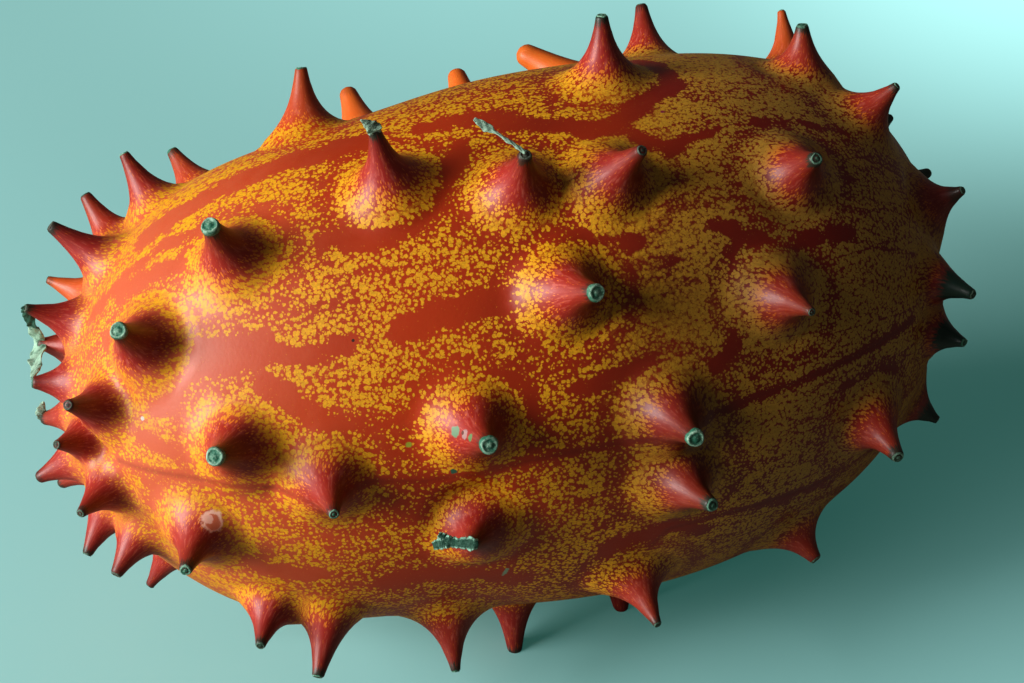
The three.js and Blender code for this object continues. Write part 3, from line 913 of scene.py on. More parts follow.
def height_share_group():
    """How much of a spine's height the skin has at a distance from its root: the stem narrows
    as one over the distance past its tip and neck, and the foot meets the skin without a crease."""
    group, tree, source, target = new_group(
        "Height Share", "GeometryNodeTree",
        [("Distance", "NodeSocketFloat", 0.0), ("Tip Radius", "NodeSocketFloat", REST_RADIUS * MM),
         ("Neck", "NodeSocketFloat", NECK * MM), ("Foot", "NodeSocketFloat", WIDEST_FOOT * MM)],
        [("Share", "NodeSocketFloat")])
    tip, neck, foot = source["Tip Radius"], source["Neck"], source["Foot"]
    radius = tree.math("MAXIMUM", source["Distance"], tip)
    out = radius / foot
    out_at_tip = tip / foot
    fade = tree.math("MAXIMUM", (1.0 - out * out) / (1.0 - out_at_tip * out_at_tip), 0.0)
    tree.feed(target["Share"], neck / (radius - tip + neck) * (fade * fade))
    return group


def raise_spines_group():
    """Raises every spine from the bare skin, and notes for the material where each point lies."""
    group, tree, source, target = new_group(
        "Raise Spines", "GeometryNodeTree",
        [("Geometry", "NodeSocketGeometry", None), ("Roots", "NodeSocketObject", None),
         ("Bare Paths", "NodeSocketObject", None), ("Creases", "NodeSocketObject", None),
         ("Neck", "NodeSocketFloat", NECK * MM), ("Bend Power", "NodeSocketFloat", BEND_POWER),
         ("Rind", "NodeSocketMaterial", None)],
        [("Geometry", "NodeSocketGeometry")])
    share_group = height_share_group()
    bend_power = source["Bend Power"]
    position = tree.make("GeometryNodeInputPosition", 0)
    bare = store(tree, source["Geometry"], "skin_place", position)
    place = named(tree, "skin_place", "FLOAT_VECTOR")

    def nearest_in(key):
        """The points of another object, and the number of the nearest one."""
        points = tree.make("GeometryNodeObjectInfo", "Geometry", {"Object": source[key]})
        inputs = {"Geometry": points, "Sample Position": place}
        return points, tree.make("GeometryNodeSampleNearest", "Index", inputs)

    roots, nearest = nearest_in("Roots")

    def of_spine(name, number, kind="FLOAT"):
        return sample(tree, roots, named(tree, name, kind), number)

    def share_of(distance, tip, foot):
        inputs = {"Distance": distance, "Tip Radius": tip, "Neck": source["Neck"], "Foot": foot}
        return grouped(tree, share_group, inputs, "GeometryNodeGroup")

    # one turn of the loop for each spine
    start = tree.node("GeometryNodeRepeatInput")
    end = tree.node("GeometryNodeRepeatOutput")
    start.pair_with_output(end)
    count = tree.make("GeometryNodeAttributeDomainSize", "Point Count", {"Geometry": roots})
    tree.feed(start.inputs["Iterations"], count)
    tree.feed(start.inputs["Geometry"], bare)
    number = Value(tree, start.outputs["Iteration"])
    root = sample(tree, roots, position, number)
    stand = of_spine("stand", number, "FLOAT_VECTOR")
    lean = of_spine("lean", number, "FLOAT_VECTOR")
    height, foot, tip, dome = (of_spine(name, number) for name in ("height", "foot", "tip", "dome"))
    from_root = tree.vector("DISTANCE", place, root)
    share = share_of(from_root, tip, foot)
    dome *= tree.math("SQRT", tree.math("MAXIMUM", tip * tip - from_root * from_root, 0.0))
    axis = tree.vector("NORMALIZE", stand * height + lean * bend_power)
    rise = stand * (height * share) + axis * dome
    bend = lean * share ** bend_power
    # the spine's own points also turn square to its bent centre line
    slope = share ** (bend_power - 1.0) * (bend_power * (tree.vector("LENGTH", lean) / height))
    own = tree.math("COMPARE", nearest, number, 0.5)
    angle = tree.math("ARCTANGENT", slope) * own * tree.ramp(share, 0.0, 0.05)
    arm = place - root
    inputs = {"Vector": arm, "Axis": tree.vector("CROSS_PRODUCT", stand, lean), "Angle": angle}
    turned = tree.make("ShaderNodeVectorRotate", 0, inputs, rotation_type="AXIS_ANGLE")
    lift = named(tree, "lift", "FLOAT_VECTOR")
    lifted = lift + (rise + bend + (turned - arm))
    shape = Value(tree, start.outputs["Geometry"])
    tree.feed(end.inputs["Geometry"], store(tree, shape, "lift", lifted))

    # where each point lies among the spines, bare paths and creases
    own_root = sample(tree, roots, position, nearest)
    own_foot = of_spine("foot", nearest)
    distance = tree.vector("DISTANCE", place, own_root)
    paths, near_path = nearest_in("Bare Paths")
    to_path = tree.vector("DISTANCE", place, sample(tree, paths, position, near_path))
    creases, near_crease = nearest_in("Creases")
    notes = {
        "root_distance": distance,
        "spine_rise": share_of(distance, of_spine("tip", nearest), own_foot),
        "spine_number": nearest,
        "spine_foot": own_foot,
        "spine_tone": of_spine("tone", nearest),
        "root_place": own_root,
        "path_edge": to_path - sample(tree, paths, named(tree, "half_width"), near_path),
        "crease_distance": tree.vector("DISTANCE", place, sample(tree, creases, position, near_crease)),
    }
    shape = Value(tree, end.outputs["Geometry"])
    for name, value in notes.items():
        shape = store(tree, shape, name, value)

    shape = tree.make("GeometryNodeSetPosition", 0, {"Geometry": shape, "Offset": lift})
    # tips that carry the fruit are pressed flat on the floor
    grounded = tree.vector("MAXIMUM", position, (-1.0, -1.0, 0.0))
    shape = tree.make("GeometryNodeSetPosition", 0, {"Geometry": shape, "Position": grounded})
    shape = tree.make("GeometryNodeRemoveAttribute", 0, {"Geometry": shape, "Name": "lift"})
    shape = tree.make("GeometryNodeSetShadeSmooth", 0, {"Geometry": shape})
    shape = tree.make("GeometryNodeRealizeInstances", 0, {"Geometry": shape})
    shape = tree.make("GeometryNodeSetMaterial", 0, {"Geometry": shape, "Material": source["Rind"]})
    tree.feed(target["Geometry"], shape)
    return group


def flecks_group():
    """Small ragged flecks that run together as the cover grows."""
    group, tree, source, target = new_group(
        "Flecks", "ShaderNodeTree",
        [("Vector", "NodeSocketVector", None), ("Size", "NodeSocketFloat", 1.0),
         ("Cover", "NodeSocketFloat", 0.5)],
        [("Mask", "NodeSocketFloat")])
    place = source["Vector"] * (1.0 / source["Size"])
    warp = (tree.noise(place, 0.8, output="Color") - (0.5, 0.5, 0.5)) * 0.9
    cell = tree.node("ShaderNodeTexVoronoi", {"Vector": place + warp, "Scale": 1.0}, feature="F1").outputs
    edge = Value(tree, cell["Distance"]) + (tree.noise(place, 2.6, 3.0, 0.6) - 0.5) * 0.62
    chance = tree.parts(Value(tree, cell["Color"]))[0]
    reach = source["Cover"] * tree.ramp(chance, 0.0, 1.0, 0.66, 1.2, smooth=False)
    tree.feed(target["Mask"], tree.ramp(reach - edge, -0.11, 0.07))
    return group


def mark_group():
    """A soft-edged spot at a place on the skin."""
    group, tree, source, target = new_group(
        "Mark", "ShaderNodeTree",
        [("Vector", "NodeSocketVector", None), ("Place", "NodeSocketVector", None),
         ("Radius", "NodeSocketFloat", 1.0), ("Raggedness", "NodeSocketFloat", 0.5)],
        [("Mask", "NodeSocketFloat")])
    out = tree.vector("DISTANCE", source["Vector"], source["Place"]) / source["Radius"]
    tree.feed(target["Mask"], tree.ramp(out + source["Raggedness"], 0.75, 1.1, 1.0, 0.0))
    return group


def new_material(name, constants):
    """A material with one Principled shader and its fixed values."""
    material = bpy.data.materials.new(name)
    material.use_nodes = True
    material.node_tree.nodes.clear()
    tree = Tree(material.node_tree)
    shader = tree.node("ShaderNodeBsdfPrincipled", constants)
    tree.feed(tree.node("ShaderNodeOutputMaterial").inputs["Surface"], Value(tree, shader.outputs["BSDF"]))
    return material, tree, shader.inputs


def attribute(tree, name, output="Fac"):
    return tree.make("ShaderNodeAttribute", output, attribute_name=name)


def object_place(tree):
    """Object coordinates, in mm."""
    return tree.make("ShaderNodeTexCoord", "Object") * (1 / MM)


def bumped(tree, height, strength, distance):
    """A normal that follows a height; the distance is in mm."""
    inputs = {"Strength": strength, "Distance": distance * MM, "Height": height}
    return tree.make("ShaderNodeBump", 0, inputs)


class RindPlace:
    """Where a point of the rind lies, in mm, with what several of the rind's effects use."""

    def __init__(self, tree):
        self.place = attribute(tree, "skin_place", "Vector") * (1 / MM)
        self.along, self.across, self.up = tree.parts(self.place - SKIN_MIDDLE)
        self.to_root = attribute(tree, "root_distance") / MM
        self.to_path = attribute(tree, "path_edge") / MM
        self.to_crease = attribute(tree, "crease_distance") / MM
        self.foot = attribute(tree, "spine_foot") / MM
        self.rise = attribute(tree, "spine_rise")
        self.tone = attribute(tree, "spine_tone")
        self.clumps = tree.noise(self.place, 0.42)
        self.wander = (self.clumps - 0.5) * 3.2
        self.fine = tree.noise(self.place, 3.2, 3.0, 0.6)
        root = attribute(tree, "root_place", "Vector") * (1 / MM)
        self.arm = tree.vector("NORMALIZE", self.place - root)
        # round a spine this place is drawn out away from it
        outward = tree.vector("NORMALIZE", root - SKIN_MIDDLE)
        self.drawn_out = self.arm * 4.2 + outward * (self.to_root * 1.15) + root * 3.0


def fleck_cover(tree, at, diameter):
    """How much of the skin the flecks cover: lengthwise bands with thin veins between them, a ring
    round every spine, and less on bare paths, creases and spines."""
    # the bands follow the meridians, and close in at both ends
    girth = tree.make("ShaderNodeCombineXYZ", 0, {1: at.across, 2: at.up})
    stretched = tree.make("ShaderNodeCombineXYZ", 0, {0: at.along * 0.3})
    banded = tree.vector("NORMALIZE", girth) * (diameter / 2) + stretched
    vein = tree.math("ABSOLUTE", tree.noise(banded, 0.2, 2.0, 0.55) - 0.5)
    cover = tree.ramp(at.along, -8.0, 26.0, 0.525, 0.67) + tree.ramp(at.along, -34.0, -22.0, 0.085, 0.0)
    cover += tree.ramp(at.up, -10.0, 32.0, -0.035, 0.035)
    cover += (tree.noise(banded, 0.3) - 0.5) * 0.3
    cover += (at.clumps - 0.5) * 0.35
    cover *= tree.ramp(vein, 0.0, 0.035, 0.6, 1.0)
    cover *= tree.ramp(at.to_path + at.wander, -0.7, 0.3)
    # thinner just outside a wide foot, and thicker on the foot itself
    out = at.to_root + at.wander * 0.35
    halo = tree.ramp(out, 6.6, 7.4) * tree.ramp(out, 8.2, 9.2, 1.0, 0.0)
    cover *= 1.0 - halo * tree.ramp(at.foot, 5.5, 7.0, 0.0, 0.35)
    ring = tree.ramp(out / at.foot, 0.78, 0.92, 1.0, 0.0) * tree.ramp(at.to_root / at.foot, 0.24, 0.58)
    cover = tree.math("MAXIMUM", cover, ring * tree.ramp(at.foot, 3.5, 6.5, 0.4, 0.58))
    cover *= tree.ramp(at.rise, 0.5, 0.08, 0.2, 1.0)
    cover *= tree.ramp(at.to_crease, 0.2, 0.9, 0.3, 1.0)
    return cover * tree.ramp(at.along, -55.0, -40.0, 0.74, 1.0)


def fleck_mask(tree, at, cover, size):
    """The flecks, smaller toward both ends of the fruit and drawn out up the spines."""
    group = flecks_group()

    def flecks(place, share):
        return grouped(tree, group, {"Vector": place, "Size": size * share, "Cover": cover})

    along = at.along + at.wander * 4.0
    toward_ends = tree.math("MAXIMUM", tree.ramp(along, 4.0, 22.0), tree.ramp(along, -50.0, -40.0, 1.0, 0.0))
    mask = tree.blend(toward_ends, flecks(at.place, 1), flecks(at.place, 0.8))
    return tree.blend(tree.ramp(at.to_root, 4.6, 5.8, 1.0, 0.0), mask, flecks(at.drawn_out, 0.78))


def speckled(tree, at, mask, colours):
    """Flecks over skin that deepens toward the stalk end, partly its own colour and partly painted shade, and
    over red, streaked spines.
    """
    # the skin and the flecks darken toward the stalk end: partly their own colour, partly painted shade where
    # the fruit turns from the lamp
    broad = (tree.noise(at.place, 0.06) - 0.5) * 60.0
    light = tree.ramp(at.along + broad, -52.0, 40.0, 1.0, 0.0)
    skin = tree.mix(light, colour(colours.deep), colour(colours.bright))
    blush = tree.ramp(at.along + at.wander * 4.0, -50.0, -16.0, 0.8, 0.0)
    skin = tree.mix(blush, skin, colour(colours.blush))
    skin = tree.mix(at.fine * 0.2, skin, colour(SKIN_GRAIN))
    flecks = tree.mix(tree.ramp(at.along, 0.0, 36.0), colour(colours.fleck), colour(colours.dull))
    flecks *= tree.ramp(at.fine, 0.3, 0.7, 0.72, 1.0)
    top = colour(darker(colours.spine, 0.3))
    spine = tree.mix(tree.ramp(at.rise, 0.35, 0.95, 0.0, 0.6), colour(colours.spine), top)
    streaks = tree.ramp(tree.noise(at.drawn_out, 1.5, 3.0, 0.6), 0.48, 0.7)
    streaks *= tree.ramp(at.rise, 0.3, 0.9, 0.6, 0.15)
    spine = tree.mix(streaks, spine, colour(colours.strand))
    # painted glow of light through some spines from behind
    spine = tree.mix(at.tone, spine, colour(colours.painted_glow))
    skin = tree.mix(tree.ramp(at.rise, 0.1, 0.36), skin, spine)
    flecks = tree.mix(tree.ramp(at.rise, 0.06, 0.35), flecks, colour(colours.ember))
    return tree.mix(mask, skin, flecks)


def with_painted_shade(tree, at, painted):
    """Painted shade: darker on the side of a spine that faces the stalk end, away from the lamp, on the
    spines round that end, and in a slanting belt past the middle."""
    # painted shade on the side of each spine that faces the stalk end, away from the lamp
    painted_spine_shade = tree.ramp(tree.parts(at.arm)[0], 0.0, 0.8) * tree.ramp(at.rise, 0.02, 0.25)
    painted *= 1.0 - painted_spine_shade * 0.45
    # painted shade on the spines round the stalk end, which turns from the lamp
    stalk_end_spine_shade = tree.ramp(at.along, 40.0, 54.0, 0.0, 0.6) * tree.ramp(at.rise, 0.03, 0.2)
    painted = tree.mix(stalk_end_spine_shade, painted, colour(STALK_END_SPINE_SHADE))
    # painted shade in a slanting belt past the middle, where the fruit turns from the lamp
    slant = at.along - at.up * 0.45
    painted_shade_belt = tree.ramp(slant, -9.0, 3.0) * tree.ramp(slant, 13.0, 23.0, 0.48, 0.0)
    painted_shade_belt *= tree.ramp(at.across, -4.0, 6.0, 1.0, 0.0)
    painted_shade_belt *= tree.ramp(at.up, -6.0, 8.0) * tree.ramp(at.up, 26.0, 36.0, 1.0, 0.3)
    return painted * (1.0 - painted_shade_belt)


def dried_collar(tree, at, painted):
    """A torn, dried collar below most tips, deeper on withered spines."""
    chance = tree.make("ShaderNodeTexWhiteNoise", "Value", {"W": attribute(tree, "spine_number")},
                       noise_dimensions="1D")
    withered = tree.ramp(at.tone, -1.0, 0.0, 1.0, 0.0)
    torn = at.rise + (tree.noise(at.drawn_out, 1.9) - 0.5) * 0.4 + withered * 0.35
    strength = tree.ramp(chance, 0.1, 0.5, 0.35, 0.95) - at.tone
    collar = tree.ramp(torn, tree.ramp(withered, 0.0, 1.0, 0.87, 0.6), 0.96)
    collar = tree.math("MULTIPLY", collar, strength, clamp=True)
    greenish = tree.math("MAXIMUM", tree.ramp(chance, 0.3, 0.5), withered)
    return tree.mix(collar, painted, tree.mix(greenish, colour(COLLAR_BROWN), colour(COLLAR_GREEN)))


def marked_and_highlit(tree, painted):
    """Scabs, scars and specks, and a painted highlight on one scar, with ragged edges."""
    group = mark_group()
    solid = object_place(tree)
    ragged = (tree.noise(solid, 1.5, 3.0, 0.55) - 0.5) * 1.1
    for tint, radius, place in MARKS_AND_HIGHLIGHT:
        spot = {"Vector": solid, "Place": place, "Radius": radius, "Raggedness": ragged}
        painted = tree.mix(grouped(tree, group, spot), painted, colour(tint))
    return painted


def rind_material(sizes, colours):
    """Speckled rind: flecks in lengthwise bands and round the spines, bare red between them."""
    material, tree, shader = new_material("rind", {
        "IOR": 1.4, "Subsurface Weight": 0.12, "Subsurface Radius": (1.0, 0.22, 0.08),
        "Subsurface Scale": 2.5 * MM, "Coat Roughness": 0.2})
    at = RindPlace(tree)
    cover = fleck_cover(tree, at, sizes.diameter / MM)
    mask = fleck_mask(tree, at, cover, sizes.fleck_size / MM)
    painted = with_painted_shade(tree, at, speckled(tree, at, mask, colours))
    # painted shade along the creases
    crease_shade = tree.ramp(at.to_crease + at.fine * 0.8, 0.4, 1.0, 0.33, 0.0)
    painted = tree.mix(crease_shade, painted, colour(CREASE_SHADE))
    painted = marked_and_highlit(tree, dried_collar(tree, at, painted))
    tree.feed(shader["Base Color"], painted)
    tree.feed(shader["Roughness"], tree.ramp(at.rise, 0.05, 0.4, 0.38, 0.42) + mask * 0.1 + at.fine * 0.08)
    tree.feed(shader["Coat Weight"], tree.ramp(at.rise, 0.1, 0.5, 0.03, 0.08))
    pores = tree.noise(object_place(tree), 2.2, 4.0, 0.6)
    relief = pores * 0.08 - tree.ramp(at.to_crease, 0.0, 0.6, 0.05, 0.0)
    tree.feed(shader["Normal"], bumped(tree, relief, 0.6, 0.4))
    return material


# Dried scraps, in mm: how far each is off its spine's tip, its widths along it, and its thickness
REMAINS_OFF = 0.35
REMAINS_ACROSS = (0.6, -0.6, 0.5)
REMAINS_SAG = (0.3, 0, 0)
REMAINS_WIDTHS = (0.6, 1.1, 1.5, 1.4, 1.9, 2.6, 2.4, 1.6, 0.5)
REMAINS_THICKNESS = 0.28
STRAND_OFF = 0.67
STRAND_REACH = (5, 5.2, 0.5)
STRAND_BENDS = (0, 0.3, 0.62, 1)
STRAND_WIDTHS = (0.5, 0.6, 0.4, 0.6, 0.3, 0.3, 1.2, 1.1, 0.4)
STRAND_THICKNESS = 0.26
FLAKE_OFF = 0.45
FLAKE_THICKNESS = 0.4
FORK_OFF = 0.75
# Parts of the forked scrap: bends (along, across and up from its middle), widths, thickness, crinkle,
# seed and steps
FORK = [
    ([(0.7, 0, 0), (-0.6, 0.2, 0.1), (-2, 0.35, 0), (-3.3, 0.65, 0.1)],
     (1.1, 1.7, 1.4, 1.2, 1.5, 1.4), 0.45, 0.03, 14, 70),
    ([(-2.4, 0.6, 0.05), (-3.1, 1, 0.1), (-3.7, 1.4, 0.2)], (0.9, 1.1, 0.7), 0.4, 0.05, 17, 30),
    ([(-2.6, 0.4, 0.05), (-3.6, 0.3, 0.15), (-4.4, 0.1, 0)], (1.1, 1.4, 0.9), 0.4, 0.05, 21, 30),
]
# Wander of a strip's width and its curl: how strong, and how often along it
STRIP_WIDTH_WANDER = (0.14, 14)
STRIP_CURL = (0.25, 7)
# How often a strip crinkles along and across it
STRIP_CRINKLES = (18, 1.8)
# Below 1 a strip's edges are blunt
STRIP_EDGE = 0.6
# Shades of the dried scraps, and how a strip's own shade tells
PETAL_DARK = (0.02, 0.1, 0.06)
PETAL_SHADING = (1.0, 0.35, 0.75, 0.05, -0.25)
FORK_LIGHT = (0.3, 0.6, 0.45)
FORK_SHADING = (0.25, 0.55, 0.9, 0.3, 0.55)
# Papery flakes on two tips: the spine, widths along the flake, its way across, and its bends from the tip
FLAKES = [
    ((13, -18.5, 8.4, -0.2, -1.2), (0.5, 1.3, 1.9, 1.6, 0.9, 0.2), (0.98, 0.15, 0.1),
     [(0.3, -0.4, -1.1), (0.1, -0.4, -0.2), (-0.5, -0.2, 0.4), (-1.4, 0, 1.1)]),
    ((190, -55.8, 4.6, 2, 1.2), (0.4, 1.1, 1.4, 1, 0.3), (1, 0.2, 0),
     [(0, -0.1, -0.3), (-0.1, 0.5, 0.8), (0.4, 1.4, 1.8)]),
]
STUB_LONGITUDE = -130
STUB_STATION = 55.2
STUB_SEAT = 0.45
STUB_SIDES = 60
STUB_OUTLINE = [(0, 0), (2.7, 0), (3, 0.15), (2.75, 0.7), (2.4, 1.4), (2.3, 2.1), (2.4, 2.55), (2.1, 2.8),
                (1.6, 2.7), (1.1, 2.5), (0.5, 2.42), (0, 2.4)]
# Radius and height of a spine tip's cup, as shares of the tip radius
CUP_OUTLINE = [(0, -0.4), (0.86, -0.4), (0.98, -0.2), (1, 0.05), (0.95, 0.26), (0.86, 0.42), (0.74, 0.46),
               (0.64, 0.38), (0.5, 0.36), (0.38, 0.38), (0.28, 0.46), (0.14, 0.5), (0, 0.5)]
# How pale each ring of the cup is: its side, rim, hollow and boss
CUP_PALENESS = [0.1, 0.1, 0.1, 0.15, 0.4, 0.76, 0.7, 0.4, 0.3, 0.3, 0.36, 0.38, 0.38]
CUP_WARP = 0.24
# Up to a station, round the blossom end, the cups have only a share of their paleness
END_CUPS = (0.35, -47)
# Least paleness of the other cups, and how much more it can be
CUP_TONES = (0.15, 0.65)
# Size of the cups on wide tips and on the others, as shares of the tip
CUP_SIZES = (1.08, 0.9)
CUP_SIDES = 24
# How much smaller or larger a cup can come out, and the seed for it
CUP_VARIATION = (0.96, 1.06)
CUP_VARIATION_SEED = 4


def smooth_route(bends, steps):
    """Points along a smooth curve through the bends, and its directions."""
    bends = np.array(bends, float)
    ends = np.concatenate([2 * bends[:1] - bends[1:2], bends, 2 * bends[-1:] - bends[-2:-1]])
    share = np.linspace(0, len(bends) - 1, steps)
    index = np.minimum(share.astype(int), len(bends) - 2)
    t = (share - index)[:, None]
    a, b, c, d = (ends[index + k] for k in range(4))
    points = 0.5 * (2 * b + (c - a) * t + (2 * a - 5 * b + 4 * c - d) * t ** 2
                    + (3 * b - a - 3 * c + d) * t ** 3)
    directions = np.gradient(points, axis=0)
    return points, directions / np.linalg.norm(directions, axis=1, keepdims=True)


def ripple(values, seed):
    """A smooth repeatable wander between about -1 and 1."""
    total = np.zeros_like(values)
    for k in range(1, 5):
        total = total + np.sin(values * (1.7 * k + draw(seed + k)) + 6.28 * draw(seed * 3 + k)) / k
    return total / 2


def dried_strip(bends, widths, thickness, across, crinkle, seed, steps=70, sides=20):
    """A closed, curled and crinkled strip along a route, with its points' shares out to an edge."""
    points, directions = smooth_route(bends, steps)
    across = np.array(across, float)
    side = across - directions * (directions @ across)[:, None]
    side /= np.linalg.norm(side, axis=1, keepdims=True)
    face = np.cross(directions, side)
    along = np.linspace(0, 1, steps)
    width = np.interp(along, np.linspace(0, 1, len(widths)), widths)
    strength, often = STRIP_WIDTH_WANDER
    width = width * (1 + strength * ripple(along * often, seed))
    angle = np.arange(sides) / sides * 2 * math.pi
    out, thick = np.cos(angle), np.sin(angle)
    u = width[:, None] / 2 * out
    strength, often = STRIP_CURL
    curl = strength * ripple(along * often, seed + 5)[:, None] * width[:, None] * out ** 2
    lengthwise, crosswise = STRIP_CRINKLES
    waves = crinkle * ripple(along[:, None] * lengthwise + out * crosswise, seed + 9)
    v = thickness / 2 * np.sign(thick) * np.abs(thick) ** STRIP_EDGE + curl + waves
    grid = points[:, None] + u[..., None] * side[:, None] + v[..., None] * face[:, None]
    faces = []
    for row in range(steps - 1):
        for k in range(sides):
            a, b = row * sides + k, row * sides + (k + 1) % sides
            faces.append((a, b, b + sides, a + sides))
    faces.append(tuple(range(sides))[::-1])
    faces.append(tuple(range((steps - 1) * sides, steps * sides)))
    return grid.reshape(-1, 3), faces, np.tile(np.abs(out), steps)


def lathed(outline, sides, wobble):
    """A closed body turned round the local Z axis from radius and height pairs. Wobble gives the
    share by which a radius grows at an angle and height."""
    points, faces = [], []
    for radius, height in outline:
        if radius == 0:
            points.append((0, 0, height))
            continue
        for k in range(sides):
            angle = 2 * math.pi * k / sides
            grown = radius * wobble(angle, height)
            points.append((grown * math.cos(angle), grown * math.sin(angle), height))
    first = 1
    faces += [(0, first + (k + 1) % sides, first + k) for k in range(sides)]
    for level in range(len(outline) - 3):
        low = first + level * sides
        for k in range(sides):
            near, far = low + k, low + (k + 1) % sides
            faces.append((near, far, far + sides, near + sides))
    last = first + (len(outline) - 3) * sides
    faces += [(last + k, last + (k + 1) % sides, len(points) - 1) for k in range(sides)]
    return np.array(points, float), faces


def joined(strips):
    """Several closed strips as one."""
    points, faces, shades = [], [], []
    for strip_points, strip_faces, shade in strips:
        start = sum(len(p) for p in points)
        points.append(strip_points)
        faces += [tuple(i + start for i in face) for face in strip_faces]
        shades.append(shade)
    return np.concatenate(points), faces, np.concatenate(shades)


def smooth(obj):
    for polygon in obj.data.polygons:
        polygon.use_smooth = True


def place_cups_group():
    """A cup on every spine tip, each turned and sized a little differently."""
    group, tree, source, target = new_group(
        "Place Tip Cups", "GeometryNodeTree",
        [("Geometry", "NodeSocketGeometry", None), ("Cup", "NodeSocketObject", None),
         ("Least Size", "NodeSocketFloat", CUP_VARIATION[0]),
         ("Greatest Size", "NodeSocketFloat", CUP_VARIATION[1]),
         ("Warp", "NodeSocketFloat", CUP_WARP * MM), ("Seed", "NodeSocketInt", CUP_VARIATION_SEED),
         ("Material", "NodeSocketMaterial", None)],
        [("Geometry", "NodeSocketGeometry")])

    def chance(low, high, seed):
        # the node has sockets of one name for each kind, so they go by number
        inputs = {2: low, 3: high, "Seed": seed}
        return tree.make("FunctionNodeRandomValue", 1, inputs, data_type="FLOAT")

    cup = tree.make("GeometryNodeObjectInfo", "Geometry", {"Object": source["Cup"]})
    stand = named(tree, "stand", "FLOAT_VECTOR")
    upright = tree.make("FunctionNodeAlignRotationToVector", 0, {"Vector": stand}, axis="Z")
    size = named(tree, "tip_size") * chance(source["Least Size"], source["Greatest Size"], source["Seed"])
    shape = tree.make("GeometryNodeInstanceOnPoints", 0, {
        "Points": source["Geometry"], "Instance": cup, "Rotation": upright, "Scale": size})
    spin = tree.make("ShaderNodeCombineXYZ", 0, {2: chance(0.0, 6.28, source["Seed"] + 2.0)})
    shape = tree.make("GeometryNodeRotateInstances", 0, {"Instances": shape, "Rotation": spin})
    shape = tree.make("GeometryNodeRealizeInstances", 0, {"Geometry": shape})
    solid = tree.make("GeometryNodeInputPosition", 0) * (1 / MM)
    warp = (tree.noise(solid, 1.1, 3.0, output="Color") - (0.5, 0.5, 0.5)) * source["Warp"]
    shape = tree.make("GeometryNodeSetPosition", 0, {"Geometry": shape, "Offset": warp})
    shape = tree.make("GeometryNodeSetMaterial", 0, {"Geometry": shape, "Material": source["Material"]})
    tree.feed(target["Geometry"], shape)
    return group


def dry_fibre_group():
    """Streaky grain of dried plant matter."""
    group, tree, source, target = new_group(
        "Dry Fibre", "ShaderNodeTree",
        [("Vector", "NodeSocketVector", None), ("Scale", "NodeSocketFloat", 1.0)],
        [("Grain", "NodeSocketFloat"), ("Blotch", "NodeSocketFloat")])
    place = source["Vector"] * source["Scale"]
    streaks = tree.make("ShaderNodeMapping", 0, {"Vector": place, "Scale": (1.0, 5.0, 1.4)})
    tree.feed(target["Grain"], tree.noise(streaks, 1.6, 4.0, 0.65))
    tree.feed(target["Blotch"], tree.noise(place, 0.7, 3.0))
    return group


def dry_material(name, light, dark, scale, roughness=0.75, shading=None):
    """Dried paper or wood: two colours by grain and blotches. Shading gives the weight of these,
    the range of the strip's own shade, and what this adds at the range's start and end."""
    material, tree, shader = new_material(name, {"IOR": 1.4})
    group = bpy.data.node_groups.get("Dry Fibre") or dry_fibre_group()
    inputs = {"Vector": object_place(tree), "Scale": scale}
    fibre = tree.node("ShaderNodeGroup", inputs, node_tree=group).outputs
    grain, blotch = Value(tree, fibre["Grain"]), Value(tree, fibre["Blotch"])
    tone = grain * 0.5 + blotch * 0.6
    if shading:
        weight, *ends = shading
        tone = tone * weight + tree.ramp(attribute(tree, "shade"), *ends)
    tree.feed(shader["Base Color"], tree.mix(tree.ramp(tone, 0.4, 0.64), colour(dark), colour(light)))
    tree.feed(shader["Roughness"], grain * 0.25 + (roughness - 0.1))
    tree.feed(shader["Normal"], bumped(tree, grain, 0.7, 0.3))
    return material


def cup_material(colours):
    """Spine tip: pale green rim, dark green hollow, and a boss in its middle."""
    material, tree, shader = new_material("tip_cup", {"IOR": 1.4})
    tone = attribute(tree, "tip_tone")
    solid = object_place(tree)
    ragged = tree.noise(solid, 4.0, 3.0, 0.6)
    worn = (ragged - 0.5) * 1.9 + (tree.noise(solid, 0.8) - 0.5) * 1.6
    pale = tree.ramp(attribute(tree, "cup_pale") + worn, 0.1, 1.3) * tree.ramp(tone, 0.15, 0.8, 0.25, 1.0)
    dark = tree.mix(tree.ramp(tone, 0.05, 0.5), colour(DRY_TIP), colour(colours.green))
    tree.feed(shader["Base Color"], tree.mix(pale, dark, colour(colours.paper)))
    tree.feed(shader["Roughness"], ragged * 0.3 + 0.45)
    tree.feed(shader["Normal"], bumped(tree, ragged, 0.5, 0.2))
    return material


def floor_material(stage):
    """Matt floor with a faint light of its own that only the camera sees."""
    material, tree, shader = new_material("floor", {"Roughness": 0.6, "Emission Strength": 1})
    solid = tree.make("ShaderNodeTexCoord", "Object")
    seen = tree.make("ShaderNodeLightPath", "Is Camera Ray")
    tone = tree.ramp(tree.noise(solid, 1.2), 0.2, 0.8, 0.94, 1.04)
    tree.feed(shader["Base Color"], tree.mix(seen, colour(stage.bounce), colour(stage.floor)) * tone)
    painted_glow = tuple(stage.haze)
    for place, full, none, strength in POOLS:
        pool = tree.ramp(tree.vector("DISTANCE", solid, place), full, none, strength, 0.0)
        painted_glow = painted_glow + tuple(stage.pool) * pool
    tree.feed(shader["Emission Color"], painted_glow * seen)
    return material


def settings(name):
    return getattr(bpy.context.scene, name)


